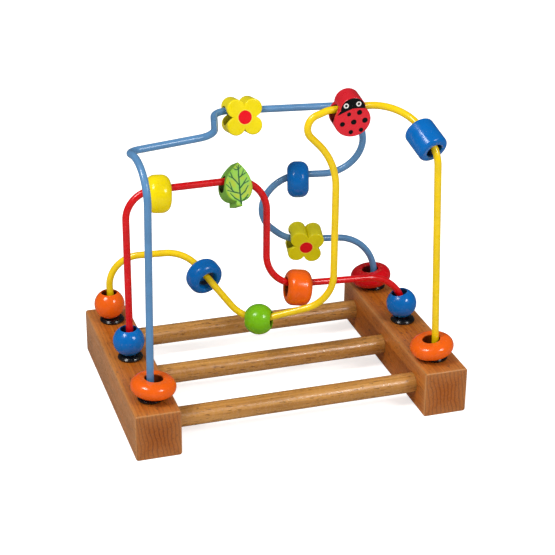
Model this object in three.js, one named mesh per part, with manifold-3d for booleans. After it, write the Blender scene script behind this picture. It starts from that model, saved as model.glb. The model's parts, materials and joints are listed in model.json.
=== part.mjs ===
// A wooden wire bead maze: two foot blocks joined by three round rails, and three bent wires that
// rise from six sockets and carry sixteen loose beads. Millimetres, +Z up, +X along the rails and
// +Y towards the back row of feet. The origin is under the middle of the base, on the ground.

import * as THREE from 'three';
import { mergeVertices } from 'three/addons/utils/BufferGeometryUtils.js';
import Module from 'manifold-3d';

const wasm = await Module();
wasm.setup();

// Base
const BLOCK_WIDTH = 30; // along the rails
const BLOCK_LENGTH = 158; // front to back
const BLOCK_HEIGHT = 32;
const BLOCK_CORNER = 1.8; // radius of the long edges
const BLOCK_EDGE = 1; // softening of the edges round each end
const CLEAR_SPAN = 165; // between the inner faces of the blocks
const ROW_SPACING = 58; // from one row of feet to the next
const RAIL_DIAMETER = 13.5;
const RAIL_HEIGHT = 15.5; // rail centre above the ground
const RAIL_TENON = 9; // rail length glued into each block

// Wires and the sockets that they stand in
const WIRE_DIAMETER = 4.7;
const WIRE_SEAT = 18; // wire length below the top of a block
const FLANGE_DIAMETER = 17;
const FLANGE_RIM = 1.3; // height of the flange at its edge
const FLANGE_HEIGHT = 3.4; // height of the dome in the middle
const SHANK_DIAMETER = 9.5;
const SHANK_LENGTH = 8;

// Beads
const BORE = 11;
const DISC_BORE = 12;
const ROUNDED_BORE = 13;
const WIDE_BORE = 14; // of the orange bead
const RING_BORE = 12;
const FLOWER_BORE = 12.5;
const BALL_DIAMETER = 21;
const DISC_DIAMETER = 29.5;
const DISC_THICKNESS = 11;
const ROUNDED_DIAMETER = 25; // the barrels, the ring and the rounded beads
const BARREL_LENGTH = 15;
const RING_LENGTH = 13;
const RING_MOUTH = { radius: 2, depth: 4 }; // rounding at each end of the ring's bore
const YELLOW_BEAD_LENGTH = 16;
const ORANGE_BEAD_LENGTH = 17;
const BEAD_ROUNDING = 6;
const WIDE_BEAD_ROUNDING = 5.5;
const RING_ROUNDING = 4.5;
const CYLINDER_DIAMETER = 20.5;
const CYLINDER_LENGTH = 21;
const CYLINDER_ROUNDING = 2.5;
const FLOWER_WIDTH = 24;
const FLOWER_LOBE = 6.2; // lobe radius
const FLOWER_SAG = 0.8; // how far the flower's middle is below its bore
const FLOWER_THICKNESS = 15.5;
const LEAF_WIDTH = 22;
const LEAF_HEIGHT = 29;
const LEAF_STEM_WIDTH = 4;
const LEAF_SAG = 0.5;
const LEAF_THICKNESS = 16;
const LEAF_SHOULDER = 0.78; // height of the leaf's shoulders below its middle, in half heights
const LEAF_FULLNESS = { lowX: 0.9, lowY: 0.95, highX: 1.35, highY: 0.15 }; // handles of its curves
const LADYBIRD_WIDTH = 24;
const LADYBIRD_BODY = 22.4; // height of the body's oval
const LADYBIRD_NECK = THREE.MathUtils.degToRad(45.5); // where the round head meets the body's oval
const LADYBIRD_SAG = 0.4;
const LADYBIRD_THICKNESS = 15.5;
const FACE_EDGE = 1; // radius that softens the edges of the cut-out beads

// Fits and fineness
const GAP = 0.3; // between pieces that touch
const WIRE_SIDES = 8;
const BEND_STEP = THREE.MathUtils.degToRad(15);
const BEAD_SIDES = 16;
const HOLE_SIDES = 12; // of the holes in the blocks, the sockets and the rails
const ARC_STEPS = 4; // steps along a quarter of a bead's rounding
const DOME_STEPS = 3; // steps from a flange's edge to the middle of its dome
const MAX_BEND_SHARE = 0.97; // of a leg of wire that its two bends may take up
const MEASURING_STEP = 1; // between the places at which a wire is measured inside a bore
const WELD = 1e-4; // distance within which vertices are one
const SAME_POINT = 1e-3; // distance within which two points of a profile are one

const FOOT_X = (CLEAR_SPAN + BLOCK_WIDTH) / 2;
const ROWS = { front: -ROW_SPACING, middle: 0, back: ROW_SPACING };
const SIDES = { left: -1, right: 1 };
const UP = new THREE.Vector3(0, 0, 1);
const WIRE_RADIUS = WIRE_DIAMETER / 2;
const SOCKET_BORE = WIRE_RADIUS + GAP;

const maze = new THREE.Group();

function paint(colour, roughness) {
  return new THREE.MeshStandardMaterial({ color: colour, roughness, metalness: 0 });
}

const BEECH = { colour: '#a8651f', roughness: 0.4 };
const BLACK = { colour: '#0c0c0e', roughness: 0.25 };
const BLUE_WIRE = { colour: '#5f90bb', roughness: 0.3 };
const RED_WIRE = { colour: '#c8101e', roughness: 0.3 };
const YELLOW_WIRE = { colour: '#f2d400', roughness: 0.3 };
const ORANGE = { colour: '#f4661b', roughness: 0.2 };
const BLUE = { colour: '#0e66b4', roughness: 0.2 };
const GREEN = { colour: '#6bb722', roughness: 0.2 };
const LEAF_GREEN = { colour: '#9cd23f', roughness: 0.35 };
const YELLOW = { colour: '#f5dd00', roughness: 0.25 };
const OLIVE_YELLOW = { colour: '#d4c800', roughness: 0.3 };
const RED = { colour: '#dc1528', roughness: 0.2 };
const LADYBIRD_RED = { colour: '#e8303c', roughness: 0.3 };

// Adds one named piece to the model.
function add(name, geometry, finish, placement = new THREE.Matrix4()) {
  const mesh = new THREE.Mesh(geometry, paint(finish.colour, finish.roughness));
  mesh.name = name;
  mesh.applyMatrix4(placement);
  maze.add(mesh);
  return mesh;
}

// Booleans ---------------------------------------------------------------------------------------

function toSolid(geometry) {
  const bare = geometry.clone();
  bare.deleteAttribute('normal');
  bare.deleteAttribute('uv');
  const merged = mergeVertices(bare, WELD);
  const mesh = new wasm.Mesh({
    numProp: 3,
    vertProperties: new Float32Array(merged.attributes.position.array),
    triVerts: new Uint32Array(merged.index.array),
  });
  return new wasm.Manifold(mesh);
}

function toGeometry(solid) {
  const mesh = solid.getMesh();
  const geometry = new THREE.BufferGeometry();
  geometry.setAttribute('position', new THREE.BufferAttribute(mesh.vertProperties, mesh.numProp));
  geometry.setIndex(new THREE.BufferAttribute(mesh.triVerts, 1));
  return geometry;
}

function cut(geometry, tools) {
  let solid = toSolid(geometry);
  for (const tool of tools) {
    solid = solid.subtract(toSolid(tool));
  }
  return toGeometry(solid);
}

// A drill of this radius that runs from one point to another.
function drill(radius, from, to, sides = HOLE_SIDES) {
  const along = to.clone().sub(from);
  const tool = new THREE.CylinderGeometry(radius, radius, along.length(), sides);
  const turn = new THREE.Quaternion().setFromUnitVectors(new THREE.Vector3(0, 1, 0), along.normalize());
  tool.applyQuaternion(turn);
  const middle = from.clone().add(to).multiplyScalar(0.5);
  tool.translate(middle.x, middle.y, middle.z);
  return tool;
}

// Base -------------------------------------------------------------------------------------------

// A rectangle with round corners, centred on the origin.
function roundedRectangle(width, height, radius) {
  const x = width / 2;
  const y = height / 2;
  const shape = new THREE.Shape();
  shape.moveTo(x - radius, -y);
  shape.absarc(x - radius, -y + radius, radius, -Math.PI / 2, 0);
  shape.absarc(x - radius, y - radius, radius, 0, Math.PI / 2);
  shape.absarc(-x + radius, y - radius, radius, Math.PI / 2, Math.PI);
  shape.absarc(-x + radius, -y + radius, radius, Math.PI, 1.5 * Math.PI);
  return shape;
}

// An outline extruded to a full thickness, with its two faces drawn in all round by the edge.
function softExtrusion(outline, thickness, edge, curveSegments) {
  const geometry = new THREE.ExtrudeGeometry(outline, {
    depth: thickness - 2 * edge,
    bevelEnabled: true,
    bevelThickness: edge,
    bevelSize: edge,
    bevelOffset: -edge,
    bevelSegments: 1,
    curveSegments,
  });
  geometry.translate(0, 0, edge - thickness / 2);
  return geometry;
}

function footBlock(side) {
  const end = roundedRectangle(BLOCK_WIDTH, BLOCK_HEIGHT, BLOCK_CORNER);
  const block = softExtrusion(end, BLOCK_LENGTH, BLOCK_EDGE, 2);
  block.rotateX(Math.PI / 2);
  block.translate(side * FOOT_X, 0, BLOCK_HEIGHT / 2);
  const tools = [];
  for (const y of Object.values(ROWS)) {
    const top = new THREE.Vector3(side * FOOT_X, y, BLOCK_HEIGHT + 1);
    const shankEnd = top.clone().setZ(BLOCK_HEIGHT - SHANK_LENGTH - GAP);
    const wireEnd = top.clone().setZ(BLOCK_HEIGHT - WIRE_SEAT - GAP);
    tools.push(drill(SHANK_DIAMETER / 2 + GAP, shankEnd, top));
    tools.push(drill(WIRE_RADIUS + GAP, wireEnd, top));
    const mouth = new THREE.Vector3(side * (CLEAR_SPAN / 2 - 1), y, RAIL_HEIGHT);
    const floor = mouth.clone().setX(side * (CLEAR_SPAN / 2 + RAIL_TENON + GAP));
    tools.push(drill(RAIL_DIAMETER / 2 + GAP, floor, mouth));
  }
  return cut(block, tools);
}

function rail(y) {
  const reach = CLEAR_SPAN / 2 + RAIL_TENON;
  const from = new THREE.Vector3(-reach, y, RAIL_HEIGHT);
  const to = new THREE.Vector3(reach, y, RAIL_HEIGHT);
  return drill(RAIL_DIAMETER / 2, from, to);
}

// A profile turned about the +Z axis. It closes on itself, and runs outwards at the bottom, up the
// outside and back down the bore.
function turned(profile, sides = BEAD_SIDES) {
  const closed = [...profile, profile[0].clone()];
  const geometry = new THREE.LatheGeometry(closed, sides);
  geometry.rotateX(Math.PI / 2);
  return geometry;
}

// Height of a socket's dome above the foot of its flange, at a distance from its axis.
function domeHeight(distance) {
  const share = Math.max(0, (distance - SOCKET_BORE) / (FLANGE_DIAMETER / 2 - SOCKET_BORE));
  return share > 1 ? 0 : FLANGE_RIM + (FLANGE_HEIGHT - FLANGE_RIM) * Math.sqrt(1 - share ** 2);
}

function socket() {
  const profile = [
    new THREE.Vector2(SOCKET_BORE, -SHANK_LENGTH),
    new THREE.Vector2(SHANK_DIAMETER / 2, -SHANK_LENGTH),
    new THREE.Vector2(SHANK_DIAMETER / 2, 0),
    new THREE.Vector2(FLANGE_DIAMETER / 2, 0),
  ];
  const run = FLANGE_DIAMETER / 2 - SOCKET_BORE;
  for (let k = 0; k <= DOME_STEPS; k += 1) {
    const distance = SOCKET_BORE + run * Math.cos((k / DOME_STEPS) * (Math.PI / 2));
    profile.push(new THREE.Vector2(distance, domeHeight(distance)));
  }
  return turned(profile, BEAD_SIDES);
}

// Wires ------------------------------------------------------------------------------------------

// A point of a wire, as shares of the foot spacing and of the row spacing, and a height above the
// blocks, with the radius to which the wire is bent there.
function bend(xShare, yShare, height, radius) {
  const corner = new THREE.Vector3(xShare * FOOT_X, yShare * ROW_SPACING, BLOCK_HEIGHT + height);
  return { corner, radius };
}

// A wire's centre line: straight legs between corners, each corner rounded to its own radius. Rings
// stand at both ends of each leg and at equal steps round each bend.
class BentWire extends THREE.Curve {
  constructor(corners) {
    super();
    this.legs = [];
    this.bends = [];
    this.rings = [];
    const points = corners.map((corner) => corner.corner);
    const ways = points.slice(1).map((point, k) => point.clone().sub(points[k]));
    const lengths = ways.map((way) => way.length());
    ways.forEach((way) => way.normalize());
    const turns = corners.map((corner, k) =>
      k === 0 || k === corners.length - 1 ? 0 : ways[k - 1].angleTo(ways[k]),
    );
    const wanted = corners.map((corner, k) => corner.radius * Math.tan(turns[k] / 2));
    const room = lengths.map((length, k) =>
      Math.min(1, (MAX_BEND_SHARE * length) / (wanted[k] + wanted[k + 1] || 1e-9)),
    );
    let start = points[0].clone();
    for (let k = 1; k < corners.length - 1; k += 1) {
      const setback = wanted[k] * Math.min(room[k - 1], room[k]);
      const into = ways[k - 1];
      const outOf = ways[k];
      const from = points[k].clone().addScaledVector(into, -setback);
      const to = points[k].clone().addScaledVector(outOf, setback);
      this.addLeg(start, from, into);
      this.addBend(from, to, into, outOf, turns[k], setback);
      start = to;
    }
    this.addLeg(start, points[points.length - 1].clone(), ways[ways.length - 1]);
  }

  addLeg(from, to, way) {
    this.legs.push({ from, to, way });
    this.rings.push({ point: from, tangent: way }, { point: to, tangent: way });
  }

  addBend(from, to, into, outOf, angle, setback) {
    const radius = setback / Math.tan(angle / 2);
    const axis = new THREE.Vector3().crossVectors(into, outOf).normalize();
    const inwards = new THREE.Vector3().crossVectors(axis, into);
    const centre = from.clone().addScaledVector(inwards, radius);
    this.bends.push({ centre, axis, radius, angle, from, into });
    const steps = Math.ceil(angle / BEND_STEP);
    for (let k = 1; k < steps; k += 1) {
      this.rings.push(this.onBend(this.bends.length - 1, k / steps));
    }
  }

  // The point at a share of a straight leg.
  onLeg(number, share) {
    const leg = this.legs[number];
    return { point: leg.from.clone().lerp(leg.to, share), tangent: leg.way.clone() };
  }

  // The point at a share of the way round a bend.
  onBend(number, share) {
    const { centre, axis, angle, from, into } = this.bends[number];
    const spoke = from.clone().sub(centre).applyAxisAngle(axis, share * angle);
    return { point: spoke.add(centre), tangent: into.clone().applyAxisAngle(axis, share * angle) };
  }

  // Rings are equal steps of the curve's parameter, so that an extrusion places one at each.
  getUtoTmapping(u) {
    return u;
  }

  getPoint(t, target = new THREE.Vector3()) {
    const place = t * (this.rings.length - 1);
    const ring = Math.min(Math.floor(place + 1e-6), this.rings.length - 2);
    return target.lerpVectors(this.rings[ring].point, this.rings[ring + 1].point, place - ring);
  }

  getTangent(t, target = new THREE.Vector3()) {
    return target.copy(this.rings[Math.round(t * (this.rings.length - 1))].tangent);
  }
}

function wireGeometry(path) {
  const corners = [];
  for (let k = 0; k < WIRE_SIDES; k += 1) {
    const angle = (k / WIRE_SIDES) * 2 * Math.PI;
    corners.push(new THREE.Vector2(WIRE_RADIUS * Math.cos(angle), WIRE_RADIUS * Math.sin(angle)));
  }
  const section = new THREE.Shape(corners);
  return new THREE.ExtrudeGeometry(section, { steps: path.rings.length - 1, extrudePath: path });
}

const LEAN_RADIUS = 60;
const CLEAR_OF_DOME = 2; // straight wire above a socket's dome
const STUB = FLANGE_HEIGHT + CLEAR_OF_DOME; // height at which a leaning wire starts to lean

// The blue wire rises at the left front, steps back along the top, and comes down in two hairpins
// to the right back.
const blueWire = new BentWire([
  bend(-1, -1, -WIRE_SEAT, 0),
  bend(-1, -1, STUB, LEAN_RADIUS),
  bend(-0.98, -1, 159, 24),
  bend(-1.02, -0.34, 153, 9),
  bend(-0.41, -0.14, 154, 17),
  bend(-0.31, 0.53, 156, 12),
  bend(0.71, 0.45, 153, 25),
  bend(0.85, 0.71, 98, 24),
  bend(-0.33, 0.76, 104, 25),
  bend(0.3, 0.95, 47, 34),
  bend(1, 1, 40, 33),
  bend(1, 1, -WIRE_SEAT, 0),
]);

// The red wire lies in the middle row: up, along, down and along to the right.
const redWire = new BentWire([
  bend(-1, 0, -WIRE_SEAT, 0),
  bend(-1, 0, 118, 19),
  bend(-0.03, 0, 119, 24),
  bend(-0.03, 0, 40, 24),
  bend(1, 0, 35, 29),
  bend(1, 0, -WIRE_SEAT, 0),
]);

// The yellow wire rises at the left back, dips to the front in the middle, climbs, loops over to
// the left at the top, and comes down at the right front.
const yellowWire = new BentWire([
  bend(-1, 1, -WIRE_SEAT, 0),
  bend(-1, 1, STUB, LEAN_RADIUS),
  bend(-1.02, 1, 48, 23),
  bend(-0.49, 0.77, 52, 27),
  bend(-0.17, 0, 14, 28),
  bend(0.39, -0.34, 32, 26),
  bend(0.39, -0.33, 132, 45),
  bend(0.11, -0.33, 160, 9),
  bend(0.32, -0.34, 167.5, 10),
  bend(0.82, -0.34, 169, 30),
  bend(0.94, -1, 148, 18),
  bend(1, -1, STUB, LEAN_RADIUS),
  bend(1, -1, -WIRE_SEAT, 0),
]);

// Beads, each with its bore along +X, its front face towards -Y and its middle at the origin --------

// A quarter of an ellipse, from its first angle over a right angle.
function quarter(centreX, centreY, radiusX, radiusY, startAngle) {
  const points = [];
  for (let k = 0; k <= ARC_STEPS; k += 1) {
    const angle = startAngle + (k / ARC_STEPS) * (Math.PI / 2);
    const x = centreX + radiusX * Math.cos(angle);
    points.push(new THREE.Vector2(x, centreY + radiusY * Math.sin(angle)));
  }
  return points;
}

// A turned bead with its bore along +X.
function turnedBead(profile) {
  const bead = turned(profile);
  bead.rotateY(Math.PI / 2);
  return bead;
}

function ball() {
  const radius = BALL_DIAMETER / 2;
  const lowest = Math.acos(BORE / BALL_DIAMETER);
  const steps = 2 * ARC_STEPS;
  const profile = [];
  for (let k = 0; k <= steps; k += 1) {
    const angle = lowest * ((2 * k) / steps - 1);
    profile.push(new THREE.Vector2(radius * Math.cos(angle), radius * Math.sin(angle)));
  }
  return turnedBead(profile);
}

// A bead with a round bore and a rounded rim at each end. The ends of its bore may be rounded too.
function roundedBead(diameter, length, rounding, bore = BORE, mouth = { radius: 0, depth: 0 }) {
  const inner = diameter / 2 - rounding;
  const half = length / 2;
  const rise = Math.min(rounding, half);
  const lip = bore / 2 + mouth.radius;
  const profile = [
    ...quarter(lip, mouth.depth - half, mouth.radius, mouth.depth, Math.PI),
    ...quarter(inner, rise - half, rounding, rise, -Math.PI / 2),
    ...quarter(inner, half - rise, rounding, rise, 0),
    ...quarter(lip, half - mouth.depth, mouth.radius, mouth.depth, Math.PI / 2),
  ];
  return turnedBead(withoutRepeats(profile));
}

function withoutRepeats(profile) {
  return profile.filter((point, k) => k === 0 || point.distanceTo(profile[k - 1]) > SAME_POINT);
}

// A bead cut out of a board: an outline in the XZ plane, a thickness along Y and a bore along X.
// The outline's middle is below the bore by the sag.
function cutOutBead(outline, thickness, halfWidth, { sag = 0, bore = BORE } = {}) {
  const board = softExtrusion(outline, thickness, FACE_EDGE, 6);
  board.rotateX(Math.PI / 2);
  board.translate(0, 0, -sag);
  const left = new THREE.Vector3(-halfWidth - 1, 0, 0);
  const right = new THREE.Vector3(halfWidth + 1, 0, 0);
  return cut(board, [drill(bore / 2, left, right, BEAD_SIDES)]);
}

// Four round lobes on the diagonals, which meet in a notch between each pair.
function flower() {
  const offset = FLOWER_WIDTH / 2 - FLOWER_LOBE;
  const past = Math.acos(offset / FLOWER_LOBE);
  const outline = new THREE.Shape();
  for (let k = 0; k < 4; k += 1) {
    const middle = Math.PI / 4 + (k * Math.PI) / 2;
    const reach = offset * Math.SQRT2;
    const sweep = 0.75 * Math.PI - past;
    const x = reach * Math.cos(middle);
    const y = reach * Math.sin(middle);
    outline.absarc(x, y, FLOWER_LOBE, middle - sweep, middle + sweep);
  }
  return cutOutBead(outline, FLOWER_THICKNESS, FLOWER_WIDTH / 2, {
    sag: FLOWER_SAG,
    bore: FLOWER_BORE,
  });
}

// A pointed oval with its tip up and a short square stem below.
function leaf() {
  const x = LEAF_WIDTH / 2;
  const y = LEAF_HEIGHT / 2;
  const stem = LEAF_STEM_WIDTH / 2;
  const shoulder = -LEAF_SHOULDER * y;
  const { lowX, lowY, highX, highY } = LEAF_FULLNESS;
  const outline = new THREE.Shape();
  outline.moveTo(stem, -y);
  outline.lineTo(stem, shoulder);
  outline.bezierCurveTo(lowX * x, lowY * shoulder, highX * x, highY * y, 0, y);
  outline.bezierCurveTo(-highX * x, highY * y, -lowX * x, lowY * shoulder, -stem, shoulder);
  outline.lineTo(-stem, -y);
  outline.closePath();
  return cutOutBead(outline, LEAF_THICKNESS, LEAF_WIDTH / 2, { sag: LEAF_SAG });
}

// An oval body with a round head that rises from its shoulders.
function ladybird() {
  const width = LADYBIRD_WIDTH / 2;
  const body = LADYBIRD_BODY / 2;
  const head = width * Math.cos(LADYBIRD_NECK);
  const neck = body * Math.sin(LADYBIRD_NECK);
  const bodyMiddle = (body - neck - head) / 2;
  const outline = new THREE.Shape();
  outline.absellipse(0, bodyMiddle, width, body, Math.PI - LADYBIRD_NECK, LADYBIRD_NECK);
  outline.absarc(0, bodyMiddle + neck, head, 0, Math.PI);
  return cutOutBead(outline, LADYBIRD_THICKNESS, LADYBIRD_WIDTH / 2, { sag: LADYBIRD_SAG });
}

// Placing beads ----------------------------------------------------------------------------------

// The middles of the wire's cross sections that lie inside a bead's bore, in the bead's own frame,
// each with half the height that a sloping wire takes up there.
function wireInside(path, centre, { along, back, upright }, halfLength) {
  const inside = [];
  for (let k = 0; k < path.rings.length - 1; k += 1) {
    const from = path.rings[k].point;
    const to = path.rings[k + 1].point;
    const slope = Math.abs(to.clone().sub(from).normalize().dot(along));
    const steps = Math.ceil(from.distanceTo(to) / MEASURING_STEP);
    for (let step = 0; step < steps; step += 1) {
      const point = from.clone().lerp(to, step / steps).sub(centre);
      if (Math.abs(point.dot(along)) <= halfLength && point.length() < 2 * halfLength) {
        inside.push({ aside: point.dot(back), rise: point.dot(upright), half: WIRE_RADIUS / slope });
      }
    }
  }
  return inside;
}

// Threads a bead on its wire. Its bore follows the wire, and the bead is turned about its own
// upright, pitched about its front-to-back line and rolled about its bore. It hangs by a share of
// the way from centred on the wire to where its bore would touch the wire.
function threadOn(path, { point, tangent }, length, pose = {}) {
  const { bore = BORE, turn = 0, pitch = 0, roll = 0, hang = 1 } = pose;
  const along = tangent.x < 0 ? tangent.clone().negate() : tangent.clone();
  const upright = UP.clone().addScaledVector(along, -UP.dot(along)).normalize();
  along.applyAxisAngle(upright, THREE.MathUtils.degToRad(turn));
  const back = new THREE.Vector3().crossVectors(upright, along);
  along.applyAxisAngle(back, THREE.MathUtils.degToRad(pitch));
  upright.crossVectors(along, back);
  const inside = wireInside(path, point, { along, back, upright }, length / 2 + GAP);
  const room = (bore / 2) * Math.cos(Math.PI / BEAD_SIDES) - GAP;
  const asides = inside.map((place) => place.aside);
  const aside = (Math.min(...asides) + Math.max(...asides)) / 2;
  const drops = inside.map((place) => {
    const play = room - place.half;
    const sideways = Math.min(Math.abs(place.aside - aside), play);
    return Math.sqrt(play ** 2 - sideways ** 2) - place.rise;
  });
  const rises = inside.map((place) => place.rise);
  const centred = -(Math.min(...rises) + Math.max(...rises)) / 2;
  const drop = THREE.MathUtils.lerp(centred, Math.min(...drops), hang);
  const centre = point.clone().addScaledVector(back, aside).addScaledVector(upright, -drop);
  upright.applyAxisAngle(along, THREE.MathUtils.degToRad(roll));
  back.crossVectors(upright, along);
  return new THREE.Matrix4().makeBasis(along, back, upright).setPosition(centre);
}

// Stands a round bead on a socket, slid aside and tilted about its front-to-back line. The lower
// edge of its bore rests on the socket's dome.
function standOn(side, row, halfLength, { bore = BORE, aside = 0, tilt = 0 } = {}) {
  const lean = THREE.MathUtils.degToRad(tilt);
  const along = new THREE.Vector3(Math.sin(lean), 0, Math.cos(lean));
  const back = new THREE.Vector3(0, 1, 0);
  const upright = new THREE.Vector3().crossVectors(along, back);
  const stance = new THREE.Matrix4().makeBasis(along, back, upright);
  let height = 0;
  for (let k = 0; k < BEAD_SIDES; k += 1) {
    const angle = (k / BEAD_SIDES) * 2 * Math.PI;
    const edge = new THREE.Vector3(0, Math.cos(angle), Math.sin(angle)).multiplyScalar(bore / 2);
    edge.setX(-halfLength).applyMatrix4(stance);
    height = Math.max(height, domeHeight(Math.hypot(edge.x + aside, edge.y)) - edge.z);
  }
  return stance.setPosition(SIDES[side] * FOOT_X + aside, ROWS[row], BLOCK_HEIGHT + 2 * GAP + height);
}

// Assembly ---------------------------------------------------------------------------------------

for (const [sideName, side] of Object.entries(SIDES)) {
  add(`${sideName}_block`, footBlock(side), BEECH);
  for (const [rowName, y] of Object.entries(ROWS)) {
    const seat = new THREE.Matrix4().makeTranslation(side * FOOT_X, y, BLOCK_HEIGHT + GAP);
    add(`${sideName}_${rowName}_socket`, socket(), BLACK, seat);
  }
}
for (const [rowName, y] of Object.entries(ROWS)) {
  add(`${rowName}_rail`, rail(y), BEECH);
}
add('blue_wire', wireGeometry(blueWire), BLUE_WIRE);
add('red_wire', wireGeometry(redWire), RED_WIRE);
add('yellow_wire', wireGeometry(yellowWire), YELLOW_WIRE);

const disc = roundedBead(DISC_DIAMETER, DISC_THICKNESS, DISC_THICKNESS / 2, DISC_BORE);
const rounded = (length) => roundedBead(ROUNDED_DIAMETER, length, BEAD_ROUNDING, ROUNDED_BORE);
const ring = roundedBead(ROUNDED_DIAMETER, RING_LENGTH, RING_ROUNDING, RING_BORE, RING_MOUTH);
const wide = roundedBead(ROUNDED_DIAMETER, ORANGE_BEAD_LENGTH, WIDE_BEAD_ROUNDING, WIDE_BORE);
const halfDisc = DISC_THICKNESS / 2;
const ballLength = Math.sqrt(BALL_DIAMETER ** 2 - BORE ** 2);
const standDisc = (side, row, pose) => standOn(side, row, halfDisc, { bore: DISC_BORE, ...pose });
const threadRounded = (path, place, length, pose) =>
  threadOn(path, place, length, { bore: ROUNDED_BORE, ...pose });

// Blue wire, from the left front to the right back
const upperPlace = blueWire.onLeg(5, 0.13);
const barrelPlace = blueWire.onBend(7, 0.04);
const lowerPlace = blueWire.onLeg(9, 0.09);
const upperTurn = { bore: FLOWER_BORE, turn: 3, roll: -10, hang: 0.85 };
const lowerTurn = { bore: FLOWER_BORE, turn: -10, pitch: 2, roll: 13 };
const upperPose = threadOn(blueWire, upperPlace, FLOWER_WIDTH, upperTurn);
const barrelPose = threadRounded(blueWire, barrelPlace, BARREL_LENGTH, { turn: -15, pitch: 1 });
const lowerPose = threadOn(blueWire, lowerPlace, FLOWER_WIDTH, lowerTurn);
add('orange_disc_left', disc.clone(), ORANGE, standDisc('left', 'front', { aside: 2, tilt: 5 }));
add('upper_flower', flower(), YELLOW, upperPose);
add('blue_barrel', rounded(BARREL_LENGTH), BLUE, barrelPose);
add('lower_flower', flower(), OLIVE_YELLOW, lowerPose);
add('red_disc', disc.clone(), RED, standDisc('right', 'back', { aside: -2.4, tilt: -8 }));

// Red wire, from left to right
const yellowPlace = redWire.onLeg(1, 0.06);
const leafPlace = redWire.onBend(1, 0.08);
const orangePlace = redWire.onLeg(3, 0);
const rightBallPlace = redWire.onBend(3, 0.85);
const yellowPose = threadRounded(redWire, yellowPlace, YELLOW_BEAD_LENGTH, { turn: -6, pitch: 3 });
const leafPose = threadOn(redWire, leafPlace, LEAF_WIDTH, { turn: 1, roll: -27 });
const orangeTurn = { bore: WIDE_BORE, turn: -6, pitch: 5 };
const orangePose = threadOn(redWire, orangePlace, ORANGE_BEAD_LENGTH, orangeTurn);
add('blue_ball_left', ball(), BLUE, standOn('left', 'middle', ballLength / 2, { aside: -0.8 }));
add('yellow_bead', rounded(YELLOW_BEAD_LENGTH), YELLOW, yellowPose);
add('green_leaf', leaf(), LEAF_GREEN, leafPose);
add('orange_bead', wide, ORANGE, orangePose);
add('blue_ball_right', ball(), BLUE, threadOn(redWire, rightBallPlace, ballLength, { hang: 0 }));

// Yellow wire, from the left back to the right front
const ringPlace = yellowWire.onLeg(3, 0.21);
const greenPlace = yellowWire.onBend(3, 0.73);
const ladybirdPlace = yellowWire.onLeg(8, 0.54);
const cylinderPlace = yellowWire.onLeg(9, 0.84);
const ringTurn = { bore: RING_BORE, turn: -20, pitch: -18, hang: 0.7 };
const ringPose = threadOn(yellowWire, ringPlace, RING_LENGTH - 2 * RING_MOUTH.depth, ringTurn);
const ladybirdPose = threadOn(yellowWire, ladybirdPlace, LADYBIRD_WIDTH, { turn: -3.4, roll: 6.5 });
const cylinder = roundedBead(CYLINDER_DIAMETER, CYLINDER_LENGTH, CYLINDER_ROUNDING);
const cylinderPose = threadOn(yellowWire, cylinderPlace, CYLINDER_LENGTH, { turn: -2 });
add('orange_ball', ball(), ORANGE, standOn('left', 'back', ballLength / 2, { aside: -1.5 }));
add('blue_ring', ring, BLUE, ringPose);
add('green_ball', ball(), GREEN, threadOn(yellowWire, greenPlace, ballLength, { hang: 0.75 }));
add('ladybird', ladybird(), LADYBIRD_RED, ladybirdPose);
add('blue_cylinder', cylinder, BLUE, cylinderPose);
add('orange_disc_right', disc.clone(), ORANGE, standDisc('right', 'front', { aside: -2.6, tilt: -8 }));

export default maze;
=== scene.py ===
"""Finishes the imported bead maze: varnished beech, painted wires, glossy and printed beads."""

import json
import math
from collections import namedtuple

import bpy
import numpy as np
from bpy.props import FloatProperty, FloatVectorProperty, IntProperty, PointerProperty
from mathutils import Matrix, Vector


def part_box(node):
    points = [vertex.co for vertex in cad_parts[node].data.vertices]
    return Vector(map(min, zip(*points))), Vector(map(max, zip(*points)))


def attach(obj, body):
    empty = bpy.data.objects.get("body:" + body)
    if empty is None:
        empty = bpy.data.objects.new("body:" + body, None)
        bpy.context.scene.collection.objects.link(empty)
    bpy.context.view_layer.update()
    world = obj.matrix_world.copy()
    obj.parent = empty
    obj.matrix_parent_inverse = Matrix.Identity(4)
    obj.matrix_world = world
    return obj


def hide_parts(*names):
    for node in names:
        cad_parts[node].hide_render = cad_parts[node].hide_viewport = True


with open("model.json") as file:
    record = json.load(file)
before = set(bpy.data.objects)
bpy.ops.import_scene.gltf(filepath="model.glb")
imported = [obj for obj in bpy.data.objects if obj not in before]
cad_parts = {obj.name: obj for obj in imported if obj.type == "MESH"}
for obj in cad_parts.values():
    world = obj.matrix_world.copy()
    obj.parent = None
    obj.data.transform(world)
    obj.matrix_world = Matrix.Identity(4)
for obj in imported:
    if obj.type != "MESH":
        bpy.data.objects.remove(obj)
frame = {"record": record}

bl_info = {
    "name": "Wooden Bead Maze",
    "version": (1, 0, 0),
    "blender": (4, 5, 0),
    "location": "View3D > Sidebar > Bead Maze",
    "description": "Builds and finishes a wooden wire bead maze piece by piece",
    "category": "Add Mesh",
}

MM = 0.001
NO_PRINT = 9.0  # millimetres outside every printed mark
PRINT_EDGE = 2.0  # value of a print attribute along the edge of its marks
SHARP_FROM = math.radians(40)  # faces that meet at more than this make a sharp edge

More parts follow.
